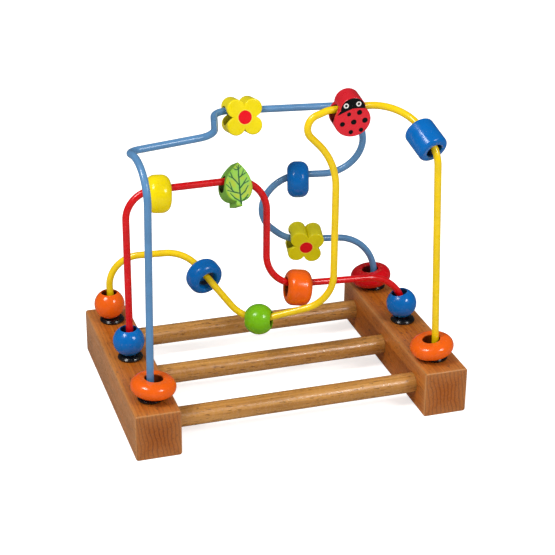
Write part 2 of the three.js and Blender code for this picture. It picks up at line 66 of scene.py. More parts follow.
# Corners of each wire: shares of the foot spacing and of the row spacing, then the height above the
# blocks and the radius of the bend, in millimetres. None stands for the height at which a wire that
# leans starts to lean, and for the radius to which it is bent there.
BENDS = {
    "blue": [
        (-1, -1, -18, 0),
        (-1, -1, None, None),
        (-0.98, -1, 159, 24),
        (-1.02, -0.34, 153, 9),
        (-0.41, -0.14, 154, 17),
        (-0.31, 0.53, 156, 12),
        (0.71, 0.45, 153, 25),
        (0.85, 0.71, 98, 24),
        (-0.33, 0.76, 104, 25),
        (0.3, 0.95, 47, 34),
        (1, 1, 40, 33),
        (1, 1, -18, 0),
    ],
    "red": [
        (-1, 0, -18, 0),
        (-1, 0, 118, 19),
        (-0.03, 0, 119, 24),
        (-0.03, 0, 40, 24),
        (1, 0, 35, 29),
        (1, 0, -18, 0),
    ],
    "yellow": [
        (-1, 1, -18, 0),
        (-1, 1, None, None),
        (-1.02, 1, 48, 23),
        (-0.49, 0.77, 52, 27),
        (-0.17, 0, 14, 28),
        (0.39, -0.34, 32, 26),
        (0.39, -0.33, 132, 45),
        (0.11, -0.33, 160, 9),
        (0.32, -0.34, 167.5, 10),
        (0.82, -0.34, 169, 30),
        (0.94, -1, 148, 18),
        (1, -1, None, None),
        (1, -1, -18, 0),
    ],
}

# Where a bead is threaded: the wire, a straight leg or a bend of it, the share of the way round a
# bend, and the turn, the pitch and the roll of the bead in degrees.
Place = namedtuple("Place", "wire part number share turn pitch roll", defaults=(0, 0, 0, 0))
THREADED = {
    "upper_flower": Place("blue", "leg", 5, turn=3, roll=-10),
    "blue_barrel": Place("blue", "bend", 7, 0.04, turn=-15, pitch=1),
    "lower_flower": Place("blue", "leg", 9, turn=-10, pitch=2, roll=13),
    "yellow_bead": Place("red", "leg", 1, turn=-6, pitch=3),
    "green_leaf": Place("red", "bend", 1, 0.08, turn=1, roll=-27),
    "orange_bead": Place("red", "leg", 3, turn=-6, pitch=5),
    "blue_ball_right": Place("red", "bend", 3, 0.85),
    "blue_ring": Place("yellow", "leg", 3, turn=-20, pitch=-18),
    "green_ball": Place("yellow", "bend", 3, 0.73),
    "ladybird": Place("yellow", "leg", 8, turn=-3.4, roll=6.5),
    "blue_cylinder": Place("yellow", "leg", 9, turn=-2),
}

# Tilt, in degrees, of each bead that rests on a socket with its bore upright.
STANDING = {
    "orange_disc_left": 5,
    "red_disc": -8,
    "orange_disc_right": -8,
    "blue_ball_left": 0,
    "orange_ball": 0,
}

# Veins of the leaf: strokes of (x, z, half width), in millimetres from the middle of its face. The
# swell is added to each half width, and the glow is how far a paler green spreads round a vein.
VEIN_SWELL = 0.08
VEIN_GLOW = 0.5
VEINS = [
    [(0.1, 12.4, 0.22), (-0.1, 6.4, 0.36), (0.4, -4.0, 0.42), (1.1, -12.9, 0.5)],
    [(-0.1, 9.3, 0.26), (-2.2, 9.5, 0.26), (-3.9, 10.5, 0.16)],
    [(0.0, 9.6, 0.22), (-1.5, 12.0, 0.14)],
    [(0.0, 9.6, 0.22), (1.7, 11.6, 0.14)],
    [(0.0, -0.6, 0.3), (-2.3, 2.2, 0.36), (-4.4, 4.2, 0.36), (-5.9, 8.4, 0.18)],
    [(-4.3, 4.0, 0.3), (-7.4, 5.6, 0.2)],
    [(0.3, -6.1, 0.32), (-3.6, -5.3, 0.36), (-5.2, -3.6, 0.32), (-8.6, -0.4, 0.2)],
    [(-4.9, -3.4, 0.28), (-6.4, 1.2, 0.16)],
    [(-3.8, -5.2, 0.3), (-7.9, -4.2, 0.2)],
    [(0.8, -11.6, 0.34), (-3.2, -9.2, 0.34), (-6.1, -6.2, 0.2)],
    [(0.3, 4.4, 0.34), (1.9, 5.4, 0.34), (3.6, 9.3, 0.18)],
    [(2.6, 5.9, 0.28), (5.2, 7.6, 0.18)],
    [(0.9, -2.4, 0.34), (3.0, 0.2, 0.36), (5.6, 4.1, 0.2)],
    [(3.0, 0.2, 0.3), (6.9, 2.2, 0.18)],
    [(1.0, -7.4, 0.34), (4.0, -4.8, 0.32), (6.3, -0.9, 0.18)],
    [(1.2, -11.8, 0.34), (3.9, -9.6, 0.32), (6.0, -6.9, 0.18)],
    [(4.1, -9.4, 0.26), (6.4, -8.9, 0.18)],
]

# Black dots (x, z, radius) of the ladybird, its eyes, and the lower edge of its black head.
SPOTS = [
    (-2.7, 2.4, 1.4),
    (4.2, 3.1, 1.75),
    (-6.9, -4.1, 1.7),
    (0.6, -3.3, 1.85),
    (8.0, -2.8, 1.85),
    (-1.1, -10.2, 1.5),
    (5.6, -9.3, 1.5),
]
EYES = [(-4.7, 8.5), (3.5, 9.1)]
HEAD_EDGE = [
    (-12, 1.6),
    (-8.3, 3.0),
    (-3.2, 5.2),
    (-0.3, 6.2),
    (3.6, 6.2),
    (7.0, 5.8),
    (8.5, 5.2),
    (12, 4),
]

# Radii of the printed discs, in millimetres.
EYE_WHITE = 1.7
PUPIL = 0.9
FLOWER_DOT = 4.6
FLOWER_RING = 5.2

SIDES = ("left", "right")
ROWS = ("front", "middle", "back")
UPWARDS = Matrix.Rotation(math.radians(-90), 4, "Y")  # turns a piece made along X to stand upright
BODY_OF = {
    node: body for body, nodes in frame["record"]["behaviour"]["bodies"].items() for node in nodes
}


# Settings ----------------------------------------------------------------------------------------


def srgb(code):
    """A colour written as six hex digits, as linear light: ((c + 0.055) / 1.055)^2.4 above 0.04045,
    and c / 12.92 below it."""
    shares = np.array([int(code[k : k + 2], 16) for k in (0, 2, 4)]) / 255
    linear = np.where(shares > 0.04045, ((shares + 0.055) / 1.055) ** 2.4, shares / 12.92)
    return (*linear.tolist(), 1.0)


def number_setting(name, description, default, unit="NONE"):
    """A number that can be set."""
    return FloatProperty(name=name, description=description, default=default, unit=unit)


def length_setting(name, description, millimetres):
    """A length that can be set."""
    return number_setting(name, description, millimetres * MM, "LENGTH")


def angle_setting(name, description, degrees):
    """An angle that can be set."""
    angle = math.radians(degrees)
    return FloatProperty(name=name, description=description, default=angle, subtype="ANGLE")


def count_setting(name, description, default, least):
    """A number of points that can be set."""
    return IntProperty(name=name, description=description, default=default, min=least)


def place_setting(name, description, place):
    """A place in metres that can be set."""
    return FloatVectorProperty(
        name=name, description=description, default=place, subtype="TRANSLATION", unit="LENGTH"
    )


def colour_setting(name, description, code):
    """A colour that can be set, its default written as six hex digits."""
    light = srgb(code)
    return FloatVectorProperty(
        name=name, description=description, default=light, size=4, min=0, max=1, subtype="COLOR"
    )


class BlockSettings(bpy.types.PropertyGroup):
    """Shape of the foot blocks, whose outer sizes come from the frame."""

    corner: length_setting("Corner", "Radius of the long edges", 1.8)
    softening: length_setting("Softening", "Radius of the edges round each end", 1.0)
    gap: length_setting("Gap", "Clearance round a piece in its hole", 0.3)
    tenon: length_setting("Tenon", "Length of rail inside a block", 9)
    wire_seat: length_setting("Wire seat", "Length of wire below a block's top", 18)


class RailSettings(bpy.types.PropertyGroup):
    """Shape of the three round rails."""

    chamfer: length_setting("Chamfer", "Softening of a rail's ends", 0.6)
    waviness: length_setting("Waviness", "Depth of the sanding waves", 0.04)
    ripple: length_setting("Ripple", "Length of a sanding wave, for each radian of it", 9)
    rings: count_setting("Rings", "Rings of points along a rail", 90, 2)
    sides: count_setting("Sides", "Points round a rail", 72, 16)


class SocketSettings(bpy.types.PropertyGroup):
    """Shape of the black sockets that the wires stand in."""

    shank_diameter: length_setting("Shank diameter", "Diameter in the block", 9.5)
    shank_length: length_setting("Shank length", "Length in the block", 8)
    flange_rim: length_setting("Flange rim", "Height of the flange at its edge", 1.3)
    edge: length_setting("Edge", "Radius of the flange's moulded edge", 0.4)
    sides: count_setting("Sides", "Points round a socket", 72, 16)


class WireSettings(bpy.types.PropertyGroup):
    """Shape of the bent wires."""

    diameter: length_setting("Diameter", "Diameter with its coat of paint", 4.7)
    stub: length_setting("Stub", "Straight wire above a block", 5.4)
    lean_radius: length_setting("Lean radius", "Radius where a wire starts to lean", 60)
    sides: count_setting("Sides", "Points round the wire", 28, 8)
    step: angle_setting("Step", "Angle between rings in a bend", 3)


class TurnedBeadSettings(bpy.types.PropertyGroup):
    """Shape of the turned beads."""

    disc_diameter: length_setting("Disc diameter", "Diameter of the discs", 29.5)
    disc_thickness: length_setting("Disc thickness", "Length of the discs", 11)
    disc_bore: length_setting("Disc bore", "Bore of the discs and of the ring", 12)
    ball_diameter: length_setting("Ball diameter", "Diameter of the balls", 21)
    bore: length_setting("Bore", "Bore of the balls and of the cylinder", 11)
    rounded_diameter: length_setting("Rounded diameter", "Diameter of the rounded beads", 25)
    rounded_bore: length_setting("Rounded bore", "Bore of the barrel and of the yellow bead", 13)
    rounding: length_setting("Rounding", "Radius of the rims of the barrel and the yellow bead", 6)
    barrel_length: length_setting("Barrel length", "Length of the blue barrel", 15)
    yellow_length: length_setting("Yellow length", "Length of the yellow bead", 16)
    orange_length: length_setting("Orange length", "Length of the orange bead", 17)
    orange_rounding: length_setting("Orange rounding", "Radius of the orange bead's rims", 5.5)
    wide_bore: length_setting("Wide bore", "Bore of the orange bead", 14)
    ring_length: length_setting("Ring length", "Length of the blue ring", 13)
    ring_rounding: length_setting("Ring rounding", "Radius of the ring's outer rims", 4.5)
    mouth_width: length_setting("Mouth width", "How far the ring's mouths open past its bore", 2)
    mouth_depth: length_setting("Mouth depth", "How deep the ring's mouths are", 4)
    cylinder_diameter: length_setting("Cylinder diameter", "Diameter of the cylinder", 20.5)
    cylinder_length: length_setting("Cylinder length", "Length of the cylinder", 21)
    cylinder_rounding: length_setting("Cylinder rounding", "Radius of the cylinder's rims", 2.5)
    rim_softness: length_setting("Rim softness", "Softening of the ends of a bore", 0.5)
    ball_softness: length_setting("Ball softness", "The same on a ball", 0.4)
    ring_softness: length_setting("Ring softness", "The same on the ring", 0.2)
    sides: count_setting("Sides", "Points round a turned bead", 112, 24)


class CutOutSettings(bpy.types.PropertyGroup):
    """Shape of the beads that are cut out of a board."""

    flower_width: length_setting("Flower width", "Width of a flower", 24)
    flower_lobe: length_setting("Flower lobe", "Radius of a flower's lobes", 6.2)
    flower_bore: length_setting("Flower bore", "Bore of a flower", 12.5)
    flower_sag: length_setting("Flower sag", "Height of the bore above the middle", 0.8)
    thickness: length_setting("Thickness", "Thickness of flower and ladybird", 15.5)
    leaf_width: length_setting("Leaf width", "Width of the leaf", 22)
    leaf_height: length_setting("Leaf height", "Height of the leaf", 29)
    leaf_thickness: length_setting("Leaf thickness", "Thickness of the leaf", 16)
    leaf_stem: length_setting("Leaf stem", "Width of the leaf's stem", 4)
    leaf_sag: length_setting("Leaf sag", "Height of the bore above the middle", 0.5)
    ladybird_width: length_setting("Ladybird width", "Width of the ladybird", 24)
    ladybird_body: length_setting("Ladybird body", "Height of its oval body", 22.4)
    ladybird_neck: angle_setting("Ladybird neck", "Where the head leaves the body", 45.5)
    ladybird_sag: length_setting("Ladybird sag", "Height of the bore above the middle", 0.4)
    bore: length_setting("Bore", "Bore of the leaf and of the ladybird", 11)
    edge: length_setting("Edge", "Radius that softens the faces' edges", 1)
    face_rings: count_setting("Face rings", "Rings of points on a face", 52, 8)


class ColourSettings(bpy.types.PropertyGroup):
    """Colours of the beads, the wires and the wood."""

    blue: colour_setting("Blue", "Lacquer of the blue beads", "0068B8")
    orange: colour_setting("Orange", "Lacquer of the orange beads", "F0620C")
    red: colour_setting("Red", "Lacquer of the red disc", "D00010")
    green: colour_setting("Green", "Lacquer of the green ball", "78BE12")
    yellow: colour_setting("Yellow", "Lacquer of the yellow bead", "F6DC00")
    upper_flower: colour_setting("Upper flower", "Paint of the upper flower's faces", "F6E000")
    lower_flower: colour_setting("Lower flower", "Paint of the lower flower's faces", "EAE000")
    leaf: colour_setting("Leaf", "Paint of the leaf's faces", "90C83C")
    ladybird: colour_setting("Ladybird", "Paint of the ladybird's faces", "E42230")
    blue_wire: colour_setting("Blue wire", "Coat of the blue wire", "5A8CBA")
    red_wire: colour_setting("Red wire", "Coat of the red wire", "DA0008")
    yellow_wire: colour_setting("Yellow wire", "Coat of the yellow wire", "F6D000")
    block_light: colour_setting("Block, light", "Lightest wood of the blocks", "C06E20")
    block_middle: colour_setting("Block, middle", "Usual wood of the blocks", "B05C14")
    block_dark: colour_setting("Block, dark", "Grain of the blocks", "743606")
    # Painted shade: the blocks' outer sides take the paler, greyer look of a side in shadow.
    shaded_block_outer: colour_setting("Block, outer", "Paler wood of the blocks' outer sides", "C4A07C")
    block_end: colour_setting("Block, end", "End grain of the blocks", "A8580E")
    rail_light: colour_setting("Rail, light", "Lightest wood of the rails", "D49A50")
    rail_middle: colour_setting("Rail, middle", "Usual wood of the rails", "B97F36")
    rail_dark: colour_setting("Rail, dark", "Grain of the rails", "8E5A22")


class StageSettings(bpy.types.PropertyGroup):
    """Camera, lamps and floor."""

    aim: place_setting("Aim", "Point that the camera looks at", (0.01365, 0.02698, 0.064))
    azimuth: angle_setting("Azimuth", "Turn of the camera round the maze", -17.819)
    elevation: angle_setting("Elevation", "Height of the camera as an angle", 25.053)
    roll: angle_setting("Roll", "Roll of the camera", 0.589)
    distance: length_setting("Distance", "Camera to aim", 1074.41)
    lens: number_setting("Lens", "Focal length in millimetres", 100.46, "CAMERA")
    key_place: place_setting("Key place", "Middle of the window on the left", (-0.87, -0.325, 1.30))
    key_side: length_setting("Key side", "Side of the window on the left", 500)
    key_power: number_setting("Key power", "Power of the window on the left", 13, "POWER")
    fill_place: place_setting("Fill place", "Middle of the lamp on the right", (0.68, -1.08, 0.97))
    fill_side: length_setting("Fill side", "Side of the lamp on the right", 420)
    fill_power: number_setting("Fill power", "Power of the lamp on the right", 8, "POWER")
    ambient: number_setting("Ambient", "Light from all round", 0.45)
    mirrored: number_setting("Mirrored", "Brightness of the room in gloss", 0.05)
    lamp_aim: place_setting("Lamp aim", "Point that the lamps look at", (0, 0, 0.09))
    floor_size: length_setting("Floor", "Side of the floor", 12000)
    floor_glow: number_setting("Floor glow", "The floor's own light, seen by the camera", 0.62)


# Surfaces ----------------------------------------------------------------------------------------


def outward(points, faces):
    """Faces turned to look outwards: they are flipped if the volume, the sum of a . (b x c) / 6
    over the triangles, is negative."""
    volume = 0.0
    for group in faces:
        a = points[group[:, 0]]
        for k in range(1, group.shape[1] - 1):
            b, c = points[group[:, k]], points[group[:, k + 1]]
            volume += np.sum(a * np.cross(b, c))
    return faces if volume > 0 else [group[:, ::-1] for group in faces]


def mesh_of(name, points, faces):
    """A mesh of these points and groups of faces, with sharp edges where faces meet steeply."""
    mesh = bpy.data.meshes.new(name)
    corners = [face for group in outward(points, faces) for face in group.tolist()]
    mesh.from_pydata(points.tolist(), [], corners)
    mesh.shade_smooth()
    mesh.set_sharp_from_angle(angle=SHARP_FROM)
    mesh.update()
    return mesh


def grid_faces(rows, columns, close_rows):
    """Quads between the rows of a grid whose columns run round and close."""
    last = rows if close_rows else rows - 1
    row, column = np.meshgrid(np.arange(last), np.arange(columns), indexing="ij")
    beyond = (row + 1) % rows
    beside = (column + 1) % columns
    places = [(row, column), (row, beside), (beyond, beside), (beyond, column)]
    return np.stack([(down * columns + across).ravel() for down, across in places], axis=1)


def ring_solid(name, grid):
    """A solid like a ring, from a grid of points that closes in both directions."""
    rows, columns = grid.shape[:2]
    return mesh_of(name, grid.reshape(-1, 3), [grid_faces(rows, columns, True)])


def capped_solid(name, grid):
    """A solid from a stack of closed rings, each end closed by a fan to the middle of its ring."""
    rows, columns = grid.shape[:2]
    points = np.vstack([grid.reshape(-1, 3), grid[0].mean(axis=0), grid[-1].mean(axis=0)])
    around = np.arange(columns)
    beside = (around + 1) % columns
    first = np.stack([np.full(columns, rows * columns), beside, around], axis=1)
    start = (rows - 1) * columns
    last = np.stack([np.full(columns, rows * columns + 1), start + around, start + beside], axis=1)
    return mesh_of(name, points, [grid_faces(rows, columns, False), first, last])


def turned_grid(profile, sides):
    """A profile of (radius r, place x) turned about the X axis: (x, r cos a, r sin a)."""
    angle = np.linspace(0, 2 * np.pi, sides, endpoint=False)
    radius = profile[:, 0, None]
    place = np.broadcast_to(profile[:, 1, None], (len(profile), sides))
    return np.stack([place, radius * np.cos(angle), radius * np.sin(angle)], axis=2)


def arc(centre, radii, start, end, steps):
    """Points of an ellipse's arc: centre + (rx cos a, ry sin a), the angle a from start to end."""
    angle = np.linspace(start, end, steps)
    return np.array(centre) + np.array(radii) * np.stack([np.cos(angle), np.sin(angle)], axis=1)


def soft_corner(before, corner, after, steps=6):
    """A corner rounded by the curve (1 - t)^2 before + 2 t (1 - t) corner + t^2 after."""
    t = np.linspace(0, 1, steps)[:, None]
    return (1 - t) ** 2 * before + 2 * t * (1 - t) * corner + t**2 * after


def towards(start, end, distance):
    """The point at a distance from start on the way to end."""
    return start + (end - start) * distance / np.linalg.norm(end - start)


def carved(mesh, tools):
    """The mesh with each tool taken out of it."""
    body = bpy.data.objects.new("carving", mesh)
    helpers = [bpy.data.objects.new("tool", tool) for tool in tools]
    for item in [body, *helpers]:
        bpy.context.scene.collection.objects.link(item)
    for helper in helpers:
        modifier = body.modifiers.new("cut", "BOOLEAN")
        modifier.operation = "DIFFERENCE"
        modifier.solver = "EXACT"
        modifier.object = helper
    bpy.context.view_layer.update()
    cut = body.evaluated_get(bpy.context.evaluated_depsgraph_get())
    result = bpy.data.meshes.new_from_object(cut)
    for item in [body, *helpers]:
        used = item.data
        bpy.data.objects.remove(item)
        bpy.data.meshes.remove(used)
    if len(result.vertices) == 0:
        raise RuntimeError("a boolean left nothing of its piece")
    result.materials.clear()
    result.shade_smooth()
    result.set_sharp_from_angle(angle=SHARP_FROM)
    return result


def drill(radius, length, place, turn=None, sides=64):
    """A drill along X, turned and with its middle at a place."""
    half = length / 2
    tool = capped_solid("drill", turned_grid(np.array([(radius, -half), (radius, half)]), sides))
    tool.transform(Matrix.Translation(place) @ (turn or Matrix.Identity(4)))
    return tool


def positions(mesh):
    """The mesh's points as an array."""
    flat = np.empty(len(mesh.vertices) * 3)
    mesh.vertices.foreach_get("co", flat)
    return flat.reshape(-1, 3)


def record_marks(mesh, **marks):
    """Stores a number for every point of the mesh under each name."""
    for name, values in marks.items():
        attribute = mesh.attributes.new(name, "FLOAT", "POINT")
        attribute.data.foreach_set("value", np.asarray(values, dtype=np.float32))


def seated(mesh, basis, node):
    """Turns the mesh by a basis and moves its box's middle to that of the CAD node. It is scaled
    down by the hair by which a round form may stand outside the node's facets."""
    mesh.transform(basis.to_4x4())
    points = positions(mesh)
    low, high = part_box(node)
    size = points.max(axis=0) - points.min(axis=0)
    scale = min(1.0, float(np.min(np.array(high - low) / size)))
    middle = Vector(((points.max(axis=0) + points.min(axis=0)) / 2).tolist())
    to_node = Matrix.Translation((low + high) / 2)
    mesh.transform(to_node @ Matrix.Scale(scale, 4) @ Matrix.Translation(-middle))
    return mesh


def show(mesh, node, material):
    """Shows the mesh in place of a CAD node. It rides on the node's body."""
    piece = bpy.data.objects.new("finished_" + node, mesh)
    bpy.context.scene.collection.objects.link(piece)
    mesh.name = piece.name
    mesh.materials.append(material)
    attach(piece, BODY_OF[node])
    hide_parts(node)
    return piece


# Wires -------------------------------------------------------------------------------------------


def turned_about(vectors, axis, angles):
    """Vectors turned about an axis k: v cos a + (k x v) sin a + k (k . v) (1 - cos a)."""
    cosine = np.cos(angles)[:, None]
    sine = np.sin(angles)[:, None]
    along = np.sum(vectors * axis, axis=-1, keepdims=True)
    return vectors * cosine + np.cross(axis, vectors) * sine + axis * along * (1 - cosine)


class BentWire:
    """A centre line of straight legs joined by round bends.

    Where the way turns by an angle a, a bend of radius r starts r tan(a / 2) before the corner. A
    leg that is too short for its two bends makes both of them tighter."""

    MAX_SHARE = 0.97

    def __init__(self, corners, radii):
        ways = np.diff(corners, axis=0)
        lengths = np.linalg.norm(ways, axis=1)
        self.ways = ways / lengths[:, None]
        turns = np.arccos(np.clip(np.sum(self.ways[:-1] * self.ways[1:], axis=1), -1, 1))
        wanted = np.zeros(len(corners))
        wanted[1:-1] = radii[1:-1] * np.tan(turns / 2)
        room = np.minimum(1, self.MAX_SHARE * lengths / np.maximum(wanted[:-1] + wanted[1:], 1e-9))
        setback = wanted[1:-1] * np.minimum(room[:-1], room[1:])
        self.turns = turns
        self.first = corners[0]
        self.last = corners[-1]
        self.starts = corners[1:-1] - self.ways[:-1] * setback[:, None]
        axes = np.cross(self.ways[:-1], self.ways[1:])
        self.axes = axes / np.linalg.norm(axes, axis=1)[:, None]
        radius = setback / np.tan(turns / 2)
        self.centres = self.starts + np.cross(self.axes, self.ways[:-1]) * radius[:, None]

    def way(self, part, number, share):
        """The direction of the wire on a leg, or at a share of the way round a bend."""
        if part == "leg":
            return Vector(self.ways[number].tolist())
        angle = np.array([share * self.turns[number]])
        return Vector(turned_about(self.ways[number], self.axes[number], angle)[0].tolist())

    def rings(self, step):
        """Centres, and two directions across the wire, of rings at both ends of each leg and at
        steps round each bend. The directions turn with the bends, so the wire doesn't twist."""
        side = np.cross(self.ways[0], (0.0, 1.0, 0.0))
        side /= np.linalg.norm(side)
        rise = np.cross(self.ways[0], side)
        centres, sides, rises = [self.first[None]], [side[None]], [rise[None]]
        for number, turn in enumerate(self.turns):
            angles = np.linspace(0, turn, int(np.ceil(turn / step)) + 1)
            axis = self.axes[number]
            spoke = self.starts[number] - self.centres[number]
            centres.append(self.centres[number] + turned_about(spoke, axis, angles))
            sides.append(turned_about(sides[-1][-1], axis, angles))
            rises.append(turned_about(rises[-1][-1], axis, angles))
        centres.append(self.last[None])
        sides.append(sides[-1][-1:])
        rises.append(rises[-1][-1:])
        return np.vstack(centres), np.vstack(sides), np.vstack(rises)


def middle_of(node):
    """The middle of a CAD node's box."""
    low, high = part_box(node)
    return (low + high) / 2


def bent_wire(name, settings):
    """The centre line of a wire, its shares measured out from the sockets and the blocks."""
    foot = middle_of("right_back_socket")
    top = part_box("right_block")[1].z
    rows = []
    for x, y, height, radius in BENDS[name]:
        rise = settings.stub if height is None else height * MM
        bent = settings.lean_radius if radius is None else radius * MM
        rows.append((x * foot.x, y * foot.y, top + rise, bent))
    table = np.array(rows)
    return BentWire(table[:, :3], table[:, 3])


def threaded(place, settings):
    """The directions of a threaded bead: along its bore, to its back and upwards."""
    along = bent_wire(place.wire, settings).way(place.part, place.number, place.share)
    if along.x < 0:
        along.negate()
    up = Vector((0, 0, 1))
    upright = (up - along * up.dot(along)).normalized()
    along = Matrix.Rotation(math.radians(place.turn), 3, upright) @ along
    back = upright.cross(along)
    along = Matrix.Rotation(math.radians(place.pitch), 3, back) @ along
    upright = Matrix.Rotation(math.radians(place.roll), 3, along) @ along.cross(back)
    back = upright.cross(along)
    return Matrix((along, back, upright)).transposed()


def standing(tilt):
    """The directions of a bead that stands on a socket, tilted about its front-to-back line."""
    lean = math.radians(tilt)
    along = Vector((math.sin(lean), 0, math.cos(lean)))
    back = Vector((0, 1, 0))
    return Matrix((along, back, along.cross(back))).transposed()


def bead_basis(node, scene):
    """The directions of a bead, threaded on its wire or standing on its socket."""
    if node in STANDING:
        return standing(STANDING[node])
    return threaded(THREADED[node], scene.maze_wires)


# Materials ---------------------------------------------------------------------------------------

WHITE = (1.0, 1.0, 1.0, 1.0)
BARE_WOOD_AND_RIM_HIGHLIGHT = srgb("C9A06A")
BORE_SHADE = srgb("1E140C")
DUST = srgb("F6EFE2")
CHIPPED_COAT = srgb("E8E4DC")
RAY_BROWN = srgb("5A2F10")
PORE_BROWN = srgb("6B3711")
LIGHTER_ARRIS = srgb("D9A469")


class Nodes:
    """A node tree in the making, with a short way to add its nodes and to join them."""

    def __init__(self, owner):
        owner.use_nodes = True
        self.tree = owner.node_tree
        self.tree.nodes.clear()

    def node(self, kind, inputs, output=0, **settings):
        """Adds a node, sets its inputs or joins them to outputs, and gives one of its outputs."""
        made = self.tree.nodes.new(kind)
        for key, value in settings.items():
            setattr(made, key, value)
        for key, value in inputs.items():
            if isinstance(value, bpy.types.NodeSocket):
                self.tree.links.new(value, made.inputs[key])
            else:
                made.inputs[key].default_value = value
        return made.outputs[output] if len(made.outputs) else None

    def ray(self, kind):
        """1 for a ray of this kind, and 0 for others."""
        return self.node("ShaderNodeLightPath", {}, kind)

    def math(self, operation, first, second=0.0):
        """Arithmetic on one or two values."""
        return self.node("ShaderNodeMath", {0: first, 1: second}, operation=operation)

    def mix(self, share, first, second):
        """A share of the way from one colour to another."""
        return self.node("ShaderNodeMix", {0: share, 6: first, 7: second}, 2, data_type="RGBA")


class Finish(Nodes):
    """A material in the making, whose patterns are laid out in the piece's own coordinates."""

    def __init__(self, name):
        self.material = bpy.data.materials.new(name)
        super().__init__(self.material)
        self.where = self.node("ShaderNodeTexCoord", {}, "Object")

    def noise(self, scale, detail=2.0, vector=None, distortion=0.0):
        """Fractal noise, its scale in features per metre."""
        inputs = {"Vector": vector or self.where, "Scale": scale}
        inputs.update({"Detail": detail, "Distortion": distortion})
        return self.node("ShaderNodeTexNoise", inputs, "Fac")

    def stretched(self, scale, turn=(0.0, 0.0, 0.0)):
        """The place in the piece, turned and stretched along each axis."""
        inputs = {"Vector": self.where, "Rotation": turn, "Scale": scale}
        return self.node("ShaderNodeMapping", inputs)

    def band(self, value, low, high, to_low=0.0, to_high=1.0):
        """A value mapped smoothly from one range to another."""
        inputs = {"Value": value, "From Min": low, "From Max": high}
        inputs.update({"To Min": to_low, "To Max": to_high})
        return self.node("ShaderNodeMapRange", inputs, interpolation_type="SMOOTHSTEP")

    def over(self, tone, colour, value, low, high, share=1.0):
        """A tone with a share of another colour over it, where a value rises from low to high."""
        return self.mix(self.band(value, low, high, 0.0, share), tone, colour)

    def mark(self, name):
        """A number stored on the piece's points."""
        return self.node("ShaderNodeAttribute", {}, "Fac", attribute_name=name)

    def away(self, axis):
        """Distance from the middle of the maze, along X or Y."""
        place = self.node("ShaderNodeSeparateXYZ", {"Vector": self.where}, axis)
        return self.math("ABSOLUTE", place)

    def shaded(self, colour, value):
        """A colour made lighter or darker."""
        return self.node("ShaderNodeHueSaturation", {"Color": colour, "Value": value})

    def clouded(self, colour, clouds, grain):
        """A colour made lighter and darker in clouds and in a fine grain."""
        return self.shaded(colour, self.math("MULTIPLY", clouds, grain))

    def bump(self, height, distance, strength, normal=None):
        """Relief of a depth in metres."""
        inputs = {"Height": height, "Distance": distance, "Strength": strength}
        if normal:
            inputs["Normal"] = normal
        return self.node("ShaderNodeBump", inputs)

    def done(self, **inputs):
        """Joins the shader to the surface, its inputs named with underscores for spaces."""
        named = {key.replace("_", " "): value for key, value in inputs.items()}
        shader = self.node("ShaderNodeBsdfPrincipled", named)
        self.node("ShaderNodeOutputMaterial", {"Surface": shader})
        return self.material


def paint(name, colour, roughness=0.2, coat=0.4, side=None, layers=(), patches=None, hollow=0.82):
    """Lacquer on wood: slight clouds in its colour, orange peel, a darker bore, rims made lighter
    as rubbed wear and as a painted highlight, and printed layers of (mark, colour, how soft in
    millimetres, share). A board's side may have a colour of its own, which is painted shade: the
    faces' paint as it looks in shadow. Its faces may have patches."""
    finish = Finish(name)
    body = colour
    if patches:
        body = finish.over(body, patches, finish.noise(160, 1.5), 0.42, 0.62)
    if side:
        # A board's sides get a darker colour of their own: painted shade, the faces' paint as it
        # looks in shadow.
        body = finish.mix(finish.mark("face"), side, body)
    clouds = finish.band(finish.noise(70, 3), 0.25, 0.75, 0.94, 1.05)
    grain = finish.noise(900, 4)
    tone = finish.clouded(body, clouds, finish.band(grain, 0.2, 0.8, 0.97, 1.03))
    for mark, ink, softness, share in layers:
        depth = finish.math("ADD", finish.mark(mark), finish.band(grain, 0.2, 0.8, -0.08, 0.08))
        tone = finish.over(tone, ink, depth, PRINT_EDGE - softness, PRINT_EDGE + softness, share)
    # Rims lighter towards bare wood: partly rubbed wear, partly a painted highlight where the edge
    # catches light.
    rim_wear_and_highlight = finish.band(finish.noise(500, 4), 0.5, 0.7, 0.0, 0.35)
    tone = finish.mix(finish.math("MULTIPLY", finish.mark("rim"), rim_wear_and_highlight), tone, BARE_WOOD_AND_RIM_HIGHLIGHT)
    tone = finish.mix(finish.mark("bore"), tone, finish.mix(hollow, tone, BORE_SHADE))
    tone = finish.over(tone, DUST, finish.noise(1400, 1), 0.74, 0.8, 0.15)
    wear = finish.noise(240, 3)
    peel = finish.bump(finish.noise(420, 2), 0.25 * MM, 0.16)
    return finish.done(
        Base_Color=tone,
        Roughness=finish.band(wear, 0.3, 0.7, roughness - 0.04, roughness + 0.1),
        Normal=finish.bump(finish.noise(2600, 3), 0.05 * MM, 0.12, peel),
        Specular_IOR_Level=0.3,
        Coat_Weight=coat,
        Coat_Roughness=finish.band(wear, 0.3, 0.7, 0.07, 0.15),
        Coat_Normal=peel,
    )


def wire_coat(name, colour, roughness):
    """Plastic coat on steel wire: clouds and a fine grain in its colour, chips and dull patches."""
    finish = Finish(name)
    clouds = finish.band(finish.noise(120, 3), 0.3, 0.7, 0.93, 1.05)
    tone = finish.clouded(colour, clouds, finish.band(finish.noise(1300, 3), 0.2, 0.8, 0.96, 1.03))
    tone = finish.over(tone, CHIPPED_COAT, finish.noise(800, 2), 0.74, 0.79, 0.3)
    return finish.done(
        Base_Color=tone,
        Roughness=finish.band(finish.noise(300, 3), 0.3, 0.7, roughness - 0.05, roughness + 0.1),
        Normal=finish.bump(finish.noise(260, 2), 0.12 * MM, 0.1),
        Specular_IOR_Level=0.4,
        Coat_Weight=0.6,
        Coat_Roughness=0.13,
    )


